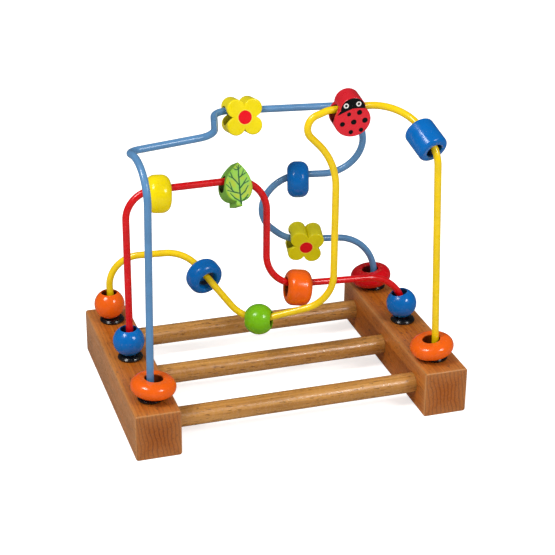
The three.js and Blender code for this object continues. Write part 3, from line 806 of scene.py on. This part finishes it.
def moulded(name):
    """Glossy black plastic with faint flow marks and fine scratches."""
    finish = Finish(name)
    flow = finish.noise(150, 3, distortion=1.2)
    fine = finish.noise(2400, 3)
    tone = finish.over(srgb("09090B"), srgb("17171A"), flow, 0.3, 0.7)
    tone = finish.over(tone, srgb("3A3A3E"), fine, 0.66, 0.74, 0.2)
    return finish.done(
        Base_Color=tone,
        Roughness=finish.band(flow, 0.3, 0.7, 0.12, 0.28),
        Normal=finish.bump(fine, 0.03 * MM, 0.05),
        Coat_Weight=0.3,
        Coat_Roughness=0.08,
    )


def beech(name, along, tones, sides=None, ringed=0.5, varnished=0.3):
    """Varnished beech: growth rings nearly upright across the piece, fine fibres and short dark
    rays along the grain, and a thin uneven varnish. The tones go from light to dark. A block's
    sides are its outer colour, its end grain, the X of its middle, and its half width and half
    length. The outer colour is painted shade, the paler and greyer look of a block's outer side in
    shadow. Arrises are lighter."""
    finish = Finish(name)
    light, middle, dark = tones
    if along == "Y":
        fibre_scale, ray_scale = (1.0, 0.03, 1.0), (1.0, 0.17, 1.0)
        turn = (0.0, math.radians(7.0), 0.0)
    else:
        fibre_scale, ray_scale = (0.03, 1.0, 1.0), (0.17, 1.0, 1.0)
        turn = (0.0, 0.0, math.radians(90.0))
    fibres = finish.noise(1500, 4, finish.stretched(fibre_scale))
    coarse = finish.noise(330, 3, finish.stretched(fibre_scale), 0.6)
    rays = finish.noise(1100, 2, finish.stretched(ray_scale))
    bands = {"Vector": finish.stretched(fibre_scale, turn), "Scale": 118.0, "Distortion": 6.0}
    bands.update({"Detail": 2.5, "Detail Scale": 0.6})
    rings = finish.node("ShaderNodeTexWave", bands, "Fac", wave_type="BANDS", bands_direction="X")
    tone = finish.over(middle, light, coarse, 0.3, 0.7)
    tone = finish.over(tone, dark, rings, 0.5, 0.98, ringed)
    tone = finish.over(tone, dark, fibres, 0.5, 0.75, 0.45)
    if sides:
        outer, end, foot, half_width, half_length = sides
        skin, deep = 0.1 * MM, 0.6 * MM
        # Painted shade: the outer sides are mixed towards a paler, greyer colour, as a side looks
        # in shadow.
        shaded_side_tone = finish.mix(0.35, finish.over(outer, light, fibres, 0.3, 0.7), tone)
        outwards = finish.math("SUBTRACT", finish.away("X"), foot)
        tone = finish.over(tone, shaded_side_tone, outwards, half_width - deep, half_width - skin, 0.75)
        cut = finish.over(end, dark, rings, 0.6, 0.98, 0.62)
        cut = finish.over(cut, PORE_BROWN, finish.noise(2100, 3), 0.52, 0.74, 0.35)
        tone = finish.over(tone, cut, finish.away("Y"), half_length - deep, half_length - skin)
    tone = finish.over(tone, RAY_BROWN, rays, 0.6, 0.68, 0.65)
    # Colour lighter towards each arris.
    tone = finish.over(tone, LIGHTER_ARRIS, finish.mark("arris"), 0.0, 1.0, 0.5)
    tone = finish.shaded(tone, finish.band(finish.noise(28, 2), 0.3, 0.7, 0.93, 1.06))
    varnish = finish.noise(420, 4)
    grain = finish.bump(fibres, 0.12 * MM, 0.35)
    return finish.done(
        Base_Color=tone,
        Roughness=finish.band(varnish, 0.3, 0.7, 0.36, 0.55),
        Normal=grain,
        Specular_IOR_Level=0.3,
        Coat_Weight=varnished,
        Coat_Roughness=finish.band(varnish, 0.3, 0.7, 0.12, 0.34),
        Coat_Normal=finish.bump(finish.noise(1300, 2), 0.16 * MM, 0.5, grain),
    )


# Wooden base -------------------------------------------------------------------------------------


def rounded_section(width, height, radius, inset, steps=7):
    """A rectangle with round corners, drawn in by an inset: each corner is an arc of radius r - i
    whose middle is r in from both sides."""
    x = width / 2 - radius
    z = height / 2 - radius
    bend = radius - inset
    quarters = [((x, -z), -90), ((x, z), 0), ((-x, z), 90), ((-x, -z), 180)]
    return np.vstack(
        [
            arc(middle, (bend, bend), math.radians(start), math.radians(start + 90), steps)
            for middle, start in quarters
        ]
    )


def foot_block(side, scene):
    """A block: rounded sections carried from front to back. Towards each end they are drawn in by
    e (1 - sin a) as they move out by e (1 - cos a), so the end's edge is a round of radius e."""
    settings, socket, wire = scene.maze_blocks, scene.maze_sockets, scene.maze_wires
    low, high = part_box(side + "_block")
    size = high - low
    soft = settings.softening
    angle = np.linspace(0, np.pi / 2, 6)
    insets = soft * (1 - np.sin(angle))
    places = size.y / 2 - soft * (1 - np.cos(angle))
    stops = np.concatenate([-places, places[::-1]])
    drawn = np.concatenate([insets, insets[::-1]])
    corner = settings.corner
    sections = np.stack([rounded_section(size.x, size.z, corner, inset) for inset in drawn])
    depth = np.broadcast_to(stops[:, None], sections.shape[:2])
    mesh = capped_solid("block", np.stack([sections[..., 0], depth, sections[..., 1]], axis=2))
    mesh.transform(Matrix.Translation((low + high) / 2))
    inner_face = high.x if side == "left" else low.x
    tools = []
    for row in ROWS:
        rail_low, rail_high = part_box(row + "_rail")
        rail = (rail_low + rail_high) / 2
        radius = (rail_high.z - rail_low.z) / 2 + settings.gap
        reach = 2 * (settings.tenon + settings.gap)
        tools.append(drill(radius, reach, (inner_face, rail.y, rail.z)))
        foot = middle_of(f"{side}_{row}_socket")
        holes = [(socket.shank_diameter, socket.shank_length), (wire.diameter, settings.wire_seat)]
        for diameter, seat in holes:
            reach = 2 * (seat + settings.gap)
            top = (foot.x, foot.y, high.z)
            tools.append(drill(diameter / 2 + settings.gap, reach, top, UPWARDS, 48))
    return carved(mesh, tools)


def arris_marks(mesh, low, high, reach):
    """How near each point is to an arris, 1 on it and 0 a reach away: two of its three distances to
    the faces are small there, so the middle one of the three says how near."""
    away = np.array(high - low) / 2 - np.abs(positions(mesh) - np.array(low + high) / 2)
    second = np.sort(away, axis=1)[:, 1]
    return np.clip(1 - second / reach, 0, 1)


class MAZE_OT_blocks(bpy.types.Operator):
    """Makes both foot blocks with their holes"""

    bl_idname = "maze.blocks"
    bl_label = "Foot blocks"

    def execute(self, context):
        scene = context.scene
        colours = scene.maze_colours
        low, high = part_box("right_block")
        half, foot = (high - low) / 2, (low.x + high.x) / 2
        sides = (colours.shaded_block_outer, colours.block_end, foot, half.x, half.y)
        tones = (colours.block_light, colours.block_middle, colours.block_dark)
        wood = beech("varnished_beech_block", "Y", tones, sides, ringed=0.25)
        for side in SIDES:
            node = side + "_block"
            mesh = foot_block(side, scene)
            record_marks(mesh, arris=arris_marks(mesh, *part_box(node), scene.maze_blocks.corner))
            show(mesh, node, wood)
        return {"FINISHED"}


class MAZE_OT_rails(bpy.types.Operator):
    """Makes the three round rails"""

    bl_idname = "maze.rails"
    bl_label = "Rails"

    def execute(self, context):
        settings, colours = context.scene.maze_rails, context.scene.maze_colours
        tones = (colours.rail_light, colours.rail_middle, colours.rail_dark)
        wood = beech("varnished_beech_rail", "X", tones, ringed=0.2, varnished=1.0)
        for row in ROWS:
            node = row + "_rail"
            low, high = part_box(node)
            half, radius = (high.x - low.x) / 2, (high.z - low.z) / 2
            straight = half - settings.chamfer
            place = np.linspace(-straight, straight, settings.rings)
            # Sanding takes w (1 + sin(x / l + p)) / 2 off the radius, with a phase p for each rail.
            sanded = settings.waviness * (1 + np.sin(place / settings.ripple + low.y / MM)) / 2
            body = np.stack([radius - sanded, place], axis=1)
            first = (radius - settings.chamfer, -half)
            last = (radius - settings.chamfer, half)
            mesh = capped_solid("rail", turned_grid(np.vstack([first, body, last]), settings.sides))
            show(seated(mesh, Matrix.Identity(3), node), node, wood)
        return {"FINISHED"}


class MAZE_OT_sockets(bpy.types.Operator):
    """Makes the six black sockets, each a shank with a domed flange and a bore for its wire"""

    bl_idname = "maze.sockets"
    bl_label = "Sockets"

    def execute(self, context):
        scene = context.scene
        settings = scene.maze_sockets
        bore = scene.maze_wires.diameter / 2 + scene.maze_blocks.gap
        edge, rim, shank = settings.edge, settings.flange_rim, settings.shank_diameter / 2
        foot = -settings.shank_length
        plastic = moulded("glossy_black_plastic")
        for node in [f"{side}_{row}_socket" for side in SIDES for row in ROWS]:
            low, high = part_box(node)
            flange, top = (high.x - low.x) / 2, high.z - low.z + foot
            # The dome is a quarter of an ellipse, from the flange's edge up to the bore.
            dome = (flange - edge - bore, top - rim)
            profile = np.vstack(
                [
                    [(bore, foot), (shank - edge, foot), (shank, foot + edge), (shank, 0)],
                    arc((flange - edge, edge), (edge, edge), -math.pi / 2, 0, 6),
                    [(flange, rim - edge)],
                    arc((flange - edge, rim - edge), (edge, edge), 0.15, 1.3, 5),
                    arc((bore, rim), dome, math.radians(12), math.pi / 2, 26),
                    [(bore, top - 0.3 * MM)],
                ]
            )
            mesh = ring_solid("socket", turned_grid(profile, settings.sides))
            show(seated(mesh, UPWARDS.to_3x3(), node), node, plastic)
        return {"FINISHED"}


class MAZE_OT_wires(bpy.types.Operator):
    """Bends the three painted wires"""

    bl_idname = "maze.wires"
    bl_label = "Wires"

    def execute(self, context):
        settings, colours = context.scene.maze_wires, context.scene.maze_colours
        coats = {
            "blue": (colours.blue_wire, 0.32),
            "red": (colours.red_wire, 0.28),
            "yellow": (colours.yellow_wire, 0.28),
        }
        angle = np.linspace(0, 2 * np.pi, settings.sides, endpoint=False)[None, :, None]
        for name, (colour, roughness) in coats.items():
            centres, sides, rises = bent_wire(name, settings).rings(settings.step)
            # A ring is its centre + (side cos a + rise sin a) d / 2, the angle a going round it.
            across = np.cos(angle) * sides[:, None] + np.sin(angle) * rises[:, None]
            grid = centres[:, None] + across * settings.diameter / 2
            coat = wire_coat(f"painted_{name}_wire", colour, roughness)
            show(capped_solid("wire", grid), name + "_wire", coat)
        return {"FINISHED"}


# Turned beads ------------------------------------------------------------------------------------


def bored(outside, softness):
    """A closed profile from the outside of a bead, which starts and ends on the bore. Both of those
    corners are rounded. The marks say which points are in the bore and which are on its rims."""
    left, right = outside[0], outside[-1]
    inwards = np.array([0.0, softness])
    first = soft_corner(left + inwards, left, towards(left, outside[1], softness))
    last = soft_corner(towards(right, outside[-2], softness), right, right - inwards)
    t = np.linspace(0, 1, 14)[1:-1, None]
    wall = last[-1] + (first[0] - last[-1]) * t
    profile = np.vstack([first, outside[1:-1], last, wall])
    rim = np.zeros(len(profile))
    rim[: len(first)] = rim[-len(wall) - len(last) : -len(wall)] = 1
    rim[len(first)] = rim[-len(wall) - len(last) - 1] = 0.4  # the rubbing and the painted highlight fade out past each rim
    bore = np.zeros(len(profile))
    bore[-len(wall) :] = 1
    return profile, rim, bore


def rounded_outside(diameter, length, rounding, bore, mouth=(0.0, 0.0), steps=14):
    """The outside of a bead whose rims are quarters of ellipses, from its bore's left end to the
    right end. Its mouths may open by a width over a depth."""
    half = length / 2
    rise = min(rounding, half)
    inner = diameter / 2 - rounding
    lip = bore / 2 + mouth[0]
    parts = [
        arc((inner, rise - half), (rounding, rise), -math.pi / 2, 0, steps),
        arc((inner, half - rise), (rounding, rise), 0, math.pi / 2, steps),
    ]
    if mouth[0]:
        parts.insert(0, arc((lip, mouth[1] - half), mouth, math.pi, 1.5 * math.pi, steps))
        parts.append(arc((lip, half - mouth[1]), mouth, math.pi / 2, math.pi, steps))
    else:
        parts.insert(0, [(lip, -half)])
        parts.append([(lip, half)])
    points = np.vstack(parts)
    gaps = np.linalg.norm(np.diff(points, axis=0), axis=1)
    return points[np.concatenate([[True], gaps > 1e-6])]


def turned_bead(node, outside, softness, scene):
    """A bead turned from its outside, put where the CAD node is."""
    sides = scene.maze_turned.sides
    profile, rim, bore = bored(outside, softness)
    mesh = ring_solid("bead", turned_grid(profile, sides))
    record_marks(mesh, rim=np.repeat(rim, sides), bore=np.repeat(bore, sides))
    return seated(mesh, bead_basis(node, scene), node)


class MAZE_OT_discs(bpy.types.Operator):
    """Turns the three thick discs, which lie on sockets"""

    bl_idname = "maze.discs"
    bl_label = "Discs"

    def execute(self, context):
        scene = context.scene
        sizes, colours = scene.maze_turned, scene.maze_colours
        orange = paint("orange_lacquer_disc", colours.orange)
        finishes = {
            "orange_disc_left": ("orange_bead_paint", orange),
            "orange_disc_right": ("orange_bead_paint", orange),
            "red_disc": ("red_bead_paint", paint("red_lacquer", colours.red)),
        }
        thickness = sizes.disc_thickness
        outside = rounded_outside(sizes.disc_diameter, thickness, thickness / 2, sizes.disc_bore)
        for node, (slot, material) in finishes.items():
            show(turned_bead(node, outside, sizes.rim_softness, scene), node, material)
        return {"FINISHED"}


class MAZE_OT_balls(bpy.types.Operator):
    """Turns the four balls"""

    bl_idname = "maze.balls"
    bl_label = "Balls"

    def execute(self, context):
        scene = context.scene
        sizes, colours = scene.maze_turned, scene.maze_colours
        blue = paint("blue_lacquer_ball", colours.blue)
        finishes = {
            "blue_ball_left": ("blue_bead_paint", blue),
            "blue_ball_right": ("blue_bead_paint", blue),
            "orange_ball": ("orange_bead_paint", paint("orange_lacquer_ball", colours.orange)),
            "green_ball": ("green_bead_paint", paint("green_lacquer", colours.green)),
        }
        radius = sizes.ball_diameter / 2
        lowest = math.acos(sizes.bore / sizes.ball_diameter)
        outside = arc((0, 0), (radius, radius), -lowest, lowest, 46)
        for node, (slot, material) in finishes.items():
            show(turned_bead(node, outside, sizes.ball_softness, scene), node, material)
        return {"FINISHED"}


class MAZE_OT_rounded_beads(bpy.types.Operator):
    """Turns the barrel, the ring, the cylinder and the two wide rounded beads"""

    bl_idname = "maze.rounded_beads"
    bl_label = "Rounded beads"

    def execute(self, context):
        scene = context.scene
        sizes, colours = scene.maze_turned, scene.maze_colours
        blue = ("blue_bead_paint", paint("blue_lacquer", colours.blue))
        ring = ("blue_bead_paint", paint("blue_lacquer_ring", colours.blue))
        yellow = ("yellow_bead_paint", paint("yellow_lacquer", colours.yellow))
        orange = ("orange_bead_paint", paint("orange_lacquer", colours.orange))
        wide, length, rounding = sizes.rounded_diameter, sizes.cylinder_length, sizes.rounding
        cylinder = (sizes.cylinder_diameter, length, sizes.cylinder_rounding, sizes.bore)
        orange_shape = (wide, sizes.orange_length, sizes.orange_rounding, sizes.wide_bore)
        mouth = (sizes.mouth_width, sizes.mouth_depth)
        ring_shape = (wide, sizes.ring_length, sizes.ring_rounding, sizes.disc_bore, mouth)
        beads = [
            ("blue_barrel", blue, (wide, sizes.barrel_length, rounding, sizes.rounded_bore)),
            ("yellow_bead", yellow, (wide, sizes.yellow_length, rounding, sizes.rounded_bore)),
            ("orange_bead", orange, orange_shape),
            ("blue_cylinder", blue, cylinder),
            ("blue_ring", ring, ring_shape),
        ]
        for node, (slot, material), shape in beads:
            softness = sizes.ring_softness if node == "blue_ring" else sizes.rim_softness
            mesh = turned_bead(node, rounded_outside(*shape), softness, scene)
            show(mesh, node, material)
        return {"FINISHED"}


# Beads cut out of a board ------------------------------------------------------------------------

WALL_RINGS = 11  # rings of points across a board's side


def cut_out(outline, thickness, sag, bore, settings):
    """A board cut to an outline, its faces' edges rounded. A ring on a face is the outline times a
    share of the way from the middle. Round the edge, the outline is drawn in by e (1 - sin a) as it
    moves out by e (1 - cos a). A bore along X runs a sag above the middle."""
    edge = settings.edge
    half = thickness / 2
    reach = np.linalg.norm(outline, axis=1)[:, None]
    angle = np.linspace(0, np.pi / 2, 7)
    shares = np.linspace(0, 1, settings.face_rings + 1)[1:-1]
    face = (outline * (1 - edge / reach))[None] * shares[:, None, None]
    rounds = outline[None] * (1 - (edge * (1 - np.sin(angle)))[:, None, None] / reach)
    wall = np.broadcast_to(outline, (WALL_RINGS, *outline.shape))
    outlines = np.concatenate([face, rounds, wall, rounds[::-1], face[::-1]])
    lift = half - edge * (1 - np.cos(angle))
    depth = np.concatenate(
        [
            np.full(len(face), -half),
            -lift,
            np.linspace(-half + edge, half - edge, WALL_RINGS + 2)[1:-1],
            lift[::-1],
            np.full(len(face), half),
        ]
    )
    grid = np.empty((*outlines.shape[:2], 3))
    grid[..., 0], grid[..., 1], grid[..., 2] = outlines[..., 0], depth[:, None], outlines[..., 1]
    tool = drill(bore / 2, 3 * float(reach.max()), (0, 0, sag), sides=72)
    return carved(capped_solid("cut_out", grid), [tool])


def face_places(mesh, thickness, sag, bore):
    """Each point's place (x, z) in millimetres, and marks: on a face, and in the bore."""
    points = positions(mesh)
    beyond = np.abs(points[:, 1]) - (thickness / 2 - 0.35 * MM)
    face = np.clip(beyond / (0.3 * MM), 0, 1)
    from_bore = np.hypot(points[:, 1], points[:, 2] - sag)
    inside = (from_bore < bore / 2 + 0.02 * MM).astype(float)
    return points[:, (0, 2)] / MM, face, inside


def printed(depth, face):
    """A print attribute: the depth inside a mark, in millimetres, counted up from the mark's edge,
    and nothing off the face."""
    return np.clip(PRINT_EDGE + depth, 0, 2 * PRINT_EDGE) * (face > 0.5)


def stroke_depth(places, strokes):
    """Depth inside strokes: the half width less the distance to the nearest leg. On a leg from a
    to b, the place nearest to p is a + t (b - a), with t = (p - a) . (b - a) / |b - a|^2 kept
    within 0 to 1."""
    deepest = np.full(len(places), -NO_PRINT)
    for stroke in strokes:
        table = np.array(stroke)
        for start, end in zip(table[:-1], table[1:]):
            way = end[:2] - start[:2]
            t = np.clip((places - start[:2]) @ way / (way @ way), 0, 1)
            near = start[:2] + t[:, None] * way
            width = start[2] + t * (end[2] - start[2])
            deepest = np.maximum(deepest, width - np.linalg.norm(places - near, axis=1))
    return deepest


def disc_depth(places, discs):
    """Depth inside the deepest of some discs (x, z, r): r less the distance to the middle."""
    table = np.array(discs)
    away = np.linalg.norm(places[:, None] - table[None, :, :2], axis=2)
    return np.max(table[:, 2] - away, axis=1)


def flower_outline(settings):
    """Four lobes of radius r whose middles are o = w / 2 - r out along both axes."""
    lobe = settings.flower_lobe
    offset = settings.flower_width / 2 - lobe
    sweep = 0.75 * math.pi - math.acos(offset / lobe)
    lobes = []
    for quarter in range(4):
        middle = math.pi / 4 + quarter * math.pi / 2
        away = offset * math.sqrt(2)
        centre = (away * math.cos(middle), away * math.sin(middle))
        lobes.append(arc(centre, (lobe, lobe), middle - sweep, middle + sweep, 57)[:-1])
    return np.vstack(lobes)


def leaf_outline(settings, steps=100):
    """A short square stem, and two cubic curves up to the tip: (1 - t)^3 a + 3 t (1 - t)^2 b
    + 3 t^2 (1 - t) c + t^3 d, whose handles are shares of the half width and half height."""
    x, y, stem = settings.leaf_width / 2, settings.leaf_height / 2, settings.leaf_stem / 2
    shoulder = -0.78 * y
    a, b = np.array((stem, shoulder)), np.array((0.9 * x, 0.95 * shoulder))
    c, d = np.array((1.35 * x, 0.15 * y)), np.array((0, y))
    t = np.linspace(0, 1, steps)[:, None]
    right = (1 - t) ** 3 * a + 3 * t * (1 - t) ** 2 * b + 3 * t**2 * (1 - t) * c + t**3 * d
    left = (right * (-1, 1))[::-1]
    up = np.linspace((stem, -y), (stem, shoulder), 9)[:-1]
    down = np.linspace((-stem, shoulder), (-stem, -y), 9)[1:-1]
    foot = np.linspace((-stem, -y), (stem, -y), 9)[:-1]
    return np.vstack([up, right[:-1], left, down, foot])


def ladybird_outline(settings):
    """An oval body (w cos a, b sin a), open above the neck's angle n, and a round head of radius
    w cos n that meets it there. Both are moved along Z to have their common middle at 0."""
    width, body = settings.ladybird_width / 2, settings.ladybird_body / 2
    neck = settings.ladybird_neck
    head = width * math.cos(neck)
    rise = body * math.sin(neck)
    middle = (body - rise - head) / 2
    oval = arc((0, middle), (width, body), math.pi - neck, 2 * math.pi + neck, 170)
    crown = arc((0, middle + rise), (head, head), 0, math.pi, 80)[1:-1]
    return np.vstack([oval, crown])


def head_depth(places):
    """Height above the lower edge of the ladybird's black head, in millimetres."""
    edge = np.array(HEAD_EDGE)
    return places[:, 1] - np.interp(places[:, 0], edge[:, 0], edge[:, 1])


def board_bead(node, outline, thickness, sag, bore, scene, **prints):
    """A bead cut out of a board and put where the CAD node is. Each print is a function that gives
    how deep places on the faces lie inside its marks."""
    mesh = cut_out(outline, thickness, sag, bore, scene.maze_cut_outs)
    places, face, inside = face_places(mesh, thickness, sag, bore)
    marks = {name: printed(depth(places), face) for name, depth in prints.items()}
    record_marks(mesh, face=face, bore=inside, **marks)
    return seated(mesh, bead_basis(node, scene), node)


def disc_print(*discs):
    """A print of discs (x, z, radius)."""
    return lambda places: disc_depth(places, discs)


class MAZE_OT_flowers(bpy.types.Operator):
    """Cuts out both flowers and prints their red middles"""

    bl_idname = "maze.flowers"
    bl_label = "Flowers"

    def execute(self, context):
        scene = context.scene
        sizes, colours = scene.maze_cut_outs, scene.maze_colours
        layers = [("ring", srgb("F6E85A"), 0.12, 0.6), ("dot", srgb("EE0018"), 0.12, 1.0)]
        # The sides' colours are painted shade: each flower's yellow as it looks in shadow.
        upper, upper_shaded_side = colours.upper_flower, srgb("F0DE10")
        lower, lower_shaded_side = colours.lower_flower, srgb("D8CC0C")
        yellow = paint("yellow_flower_paint", upper, 0.3, 0.3, upper_shaded_side, layers, hollow=0.55)
        olive = paint("olive_flower_paint", lower, 0.32, 0.3, lower_shaded_side, layers, hollow=0.55)
        finishes = {
            "upper_flower": ("yellow_bead_paint", yellow),
            "lower_flower": ("olive_bead_paint", olive),
        }
        shape = (flower_outline(sizes), sizes.thickness, sizes.flower_sag, sizes.flower_bore)
        dot, ring = disc_print((0, 0, FLOWER_DOT)), disc_print((0, 0, FLOWER_RING))
        for node, (slot, material) in finishes.items():
            show(board_bead(node, *shape, scene, dot=dot, ring=ring), node, material)
        return {"FINISHED"}


class MAZE_OT_leaf(bpy.types.Operator):
    """Cuts out the leaf and prints its veins"""

    bl_idname = "maze.leaf"
    bl_label = "Leaf"

    def execute(self, context):
        scene = context.scene
        sizes, colours = scene.maze_cut_outs, scene.maze_colours
        layers = [("glow", srgb("78C04C"), 0.5, 0.6), ("vein", srgb("14561C"), 0.2, 1.0)]
        # The side colour is painted shade, the leaf's green as it looks in shadow; the patches are
        # printed.
        side, patches = srgb("74AE38"), srgb("AABE22")
        material = paint("leaf_paint_print", colours.leaf, 0.6, 0.06, side, layers, patches)
        shape = (leaf_outline(sizes), sizes.leaf_thickness, sizes.leaf_sag, sizes.bore)
        mesh = board_bead(
            "green_leaf",
            *shape,
            scene,
            vein=lambda places: stroke_depth(places, VEINS) + VEIN_SWELL,
            glow=lambda places: stroke_depth(places, VEINS) + VEIN_SWELL + VEIN_GLOW,
        )
        show(mesh, "green_leaf", material)
        return {"FINISHED"}


class MAZE_OT_ladybird(bpy.types.Operator):
    """Cuts out the ladybird and prints its spots, head and eyes"""

    bl_idname = "maze.ladybird"
    bl_label = "Ladybird"

    def execute(self, context):
        scene = context.scene
        sizes, colours = scene.maze_cut_outs, scene.maze_colours
        black = srgb("0A090A")
        layers = [
            ("black", black, 0.14, 1.0),
            ("whites", srgb("F4F0EA"), 0.12, 1.0),
            ("pupils", black, 0.12, 1.0),
        ]
        # The side colour is painted shade, the ladybird's red as it looks in shadow.
        side = srgb("D41C2A")
        material = paint("ladybird_paint_print", colours.ladybird, 0.28, 0.3, side, layers)
        shape = (ladybird_outline(sizes), sizes.thickness, sizes.ladybird_sag, sizes.bore)
        mesh = board_bead(
            "ladybird",
            *shape,
            scene,
            black=lambda places: np.maximum(disc_depth(places, SPOTS), head_depth(places)),
            whites=disc_print(*[(*eye, EYE_WHITE) for eye in EYES]),
            pupils=disc_print(*[(*eye, PUPIL) for eye in EYES]),
        )
        show(mesh, "ladybird", material)
        return {"FINISHED"}


# Stage -------------------------------------------------------------------------------------------

FLOOR_CELLS = 24
FLOOR_WHITE = (0.9, 0.9, 0.9, 1.0)
FLOOR_IN_GLOSS = (0.16, 0.16, 0.16, 1.0)


def white_floor(settings):
    """A square white floor of equal cells. Its own glow keeps it white to the camera, so that only
    shadows show on it."""
    half, cells = settings.floor_size / 2, FLOOR_CELLS
    places = np.linspace(-half, half, cells + 1)
    x, y = np.meshgrid(places, places, indexing="ij")
    points = np.stack([x.ravel(), y.ravel(), np.zeros(x.size)], axis=1)
    row, column = np.meshgrid(np.arange(cells), np.arange(cells), indexing="ij")
    corner = (row * (cells + 1) + column).ravel()
    faces = np.stack([corner, corner + cells + 1, corner + cells + 2, corner + 1], axis=1)
    mesh = bpy.data.meshes.new("white_floor")
    mesh.from_pydata(points.tolist(), [], faces.tolist())
    floor = bpy.data.objects.new("white_floor", mesh)
    bpy.context.scene.collection.objects.link(floor)
    finish = Finish("matt_white_floor")
    white = finish.mix(finish.ray("Is Glossy Ray"), FLOOR_WHITE, FLOOR_IN_GLOSS)
    diffuse = finish.node("ShaderNodeBsdfDiffuse", {"Color": white, "Roughness": 0.5})
    glow = finish.math("MULTIPLY", finish.ray("Is Camera Ray"), settings.floor_glow)
    shine = finish.node("ShaderNodeEmission", {"Color": WHITE, "Strength": glow})
    both = finish.node("ShaderNodeAddShader", {0: diffuse, 1: shine})
    finish.node("ShaderNodeOutputMaterial", {"Surface": both})
    mesh.materials.append(finish.material)


def white_room(settings):
    """Surroundings that are white to the camera, dim in gloss, and a soft light on all else."""
    world = bpy.data.worlds.new("white_room")
    room = Nodes(world)
    levels = {"To Min": settings.ambient, "To Max": settings.mirrored}
    unseen = room.node("ShaderNodeMapRange", {"Value": room.ray("Is Glossy Ray"), **levels})
    levels = {"To Min": unseen, "To Max": 1.0}
    level = room.node("ShaderNodeMapRange", {"Value": room.ray("Is Camera Ray"), **levels})
    background = room.node("ShaderNodeBackground", {"Color": WHITE, "Strength": level})
    room.node("ShaderNodeOutputWorld", {"Surface": background})
    bpy.context.scene.world = world


def soft_lamp(name, place, aim, power, side):
    """A square lamp at a place, turned to its aim."""
    lamp = bpy.data.lights.new(name, "AREA")
    lamp.energy = power
    lamp.size = side
    item = bpy.data.objects.new(name, lamp)
    item.location = place
    item.rotation_euler = (Vector(aim) - Vector(place)).to_track_quat("-Z", "Y").to_euler()
    bpy.context.scene.collection.objects.link(item)


def aimed_camera(settings):
    """The camera, away from its aim by (sin a cos e, -cos a cos e, sin e) times the distance, for
    an azimuth a and an elevation e, and rolled about its line of sight."""
    azimuth, elevation, roll = settings.azimuth, settings.elevation, settings.roll
    level = math.cos(elevation)
    away = Vector((math.sin(azimuth) * level, -math.cos(azimuth) * level, math.sin(elevation)))
    right = Vector((math.cos(azimuth), math.sin(azimuth), 0))
    up = away.cross(right)
    rolled_right = math.cos(roll) * right + math.sin(roll) * up
    rolled_up = math.cos(roll) * up - math.sin(roll) * right
    camera = bpy.data.cameras.new("camera")
    camera.lens = settings.lens
    camera.sensor_width = 36
    camera.clip_end = 50
    item = bpy.data.objects.new("camera", camera)
    pose = Matrix((rolled_right, rolled_up, away)).transposed().to_4x4()
    pose.translation = Vector(settings.aim) + away * settings.distance
    item.matrix_world = pose
    bpy.context.scene.collection.objects.link(item)
    bpy.context.scene.camera = item


class MAZE_OT_stage(bpy.types.Operator):
    """Sets up the floor, the lamps, the surroundings and the camera"""

    bl_idname = "maze.stage"
    bl_label = "Stage"

    def execute(self, context):
        scene = context.scene
        settings = scene.maze_stage
        aim = settings.lamp_aim
        white_floor(settings)
        white_room(settings)
        soft_lamp("key_window", settings.key_place, aim, settings.key_power, settings.key_side)
        soft_lamp("fill_lamp", settings.fill_place, aim, settings.fill_power, settings.fill_side)
        aimed_camera(settings)
        scene.view_settings.view_transform = "Standard"
        return {"FINISHED"}


class MAZE_PT_panel(bpy.types.Panel):
    """Buttons for the pieces of the maze, in the order in which they are made"""

    bl_idname = "MAZE_PT_panel"
    bl_label = "Bead Maze"
    bl_space_type = "VIEW_3D"
    bl_region_type = "UI"
    bl_category = "Bead Maze"

    def draw(self, context):
        for operator in OPERATORS:
            self.layout.operator(operator.bl_idname)


SETTINGS = {
    "maze_blocks": BlockSettings,
    "maze_rails": RailSettings,
    "maze_sockets": SocketSettings,
    "maze_wires": WireSettings,
    "maze_turned": TurnedBeadSettings,
    "maze_cut_outs": CutOutSettings,
    "maze_colours": ColourSettings,
    "maze_stage": StageSettings,
}
OPERATORS = [
    MAZE_OT_blocks,
    MAZE_OT_rails,
    MAZE_OT_sockets,
    MAZE_OT_wires,
    MAZE_OT_discs,
    MAZE_OT_balls,
    MAZE_OT_rounded_beads,
    MAZE_OT_flowers,
    MAZE_OT_leaf,
    MAZE_OT_ladybird,
    MAZE_OT_stage,
]


def register():
    """Registers the settings, the operators and the panel."""
    for item in [*SETTINGS.values(), *OPERATORS, MAZE_PT_panel]:
        bpy.utils.register_class(item)
    for name, group in SETTINGS.items():
        setattr(bpy.types.Scene, name, PointerProperty(type=group))


def unregister():
    """Takes back what register did."""
    for name in SETTINGS:
        delattr(bpy.types.Scene, name)
    for item in reversed([*SETTINGS.values(), *OPERATORS, MAZE_PT_panel]):
        bpy.utils.unregister_class(item)


def main():
    """Makes every piece and the stage."""
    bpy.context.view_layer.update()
    register()
    bpy.ops.maze.blocks()
    bpy.ops.maze.rails()
    bpy.ops.maze.sockets()
    bpy.ops.maze.wires()
    bpy.ops.maze.discs()
    bpy.ops.maze.balls()
    bpy.ops.maze.rounded_beads()
    bpy.ops.maze.flowers()
    bpy.ops.maze.leaf()
    bpy.ops.maze.ladybird()
    bpy.ops.maze.stage()


if __name__ == "__main__":
    main()
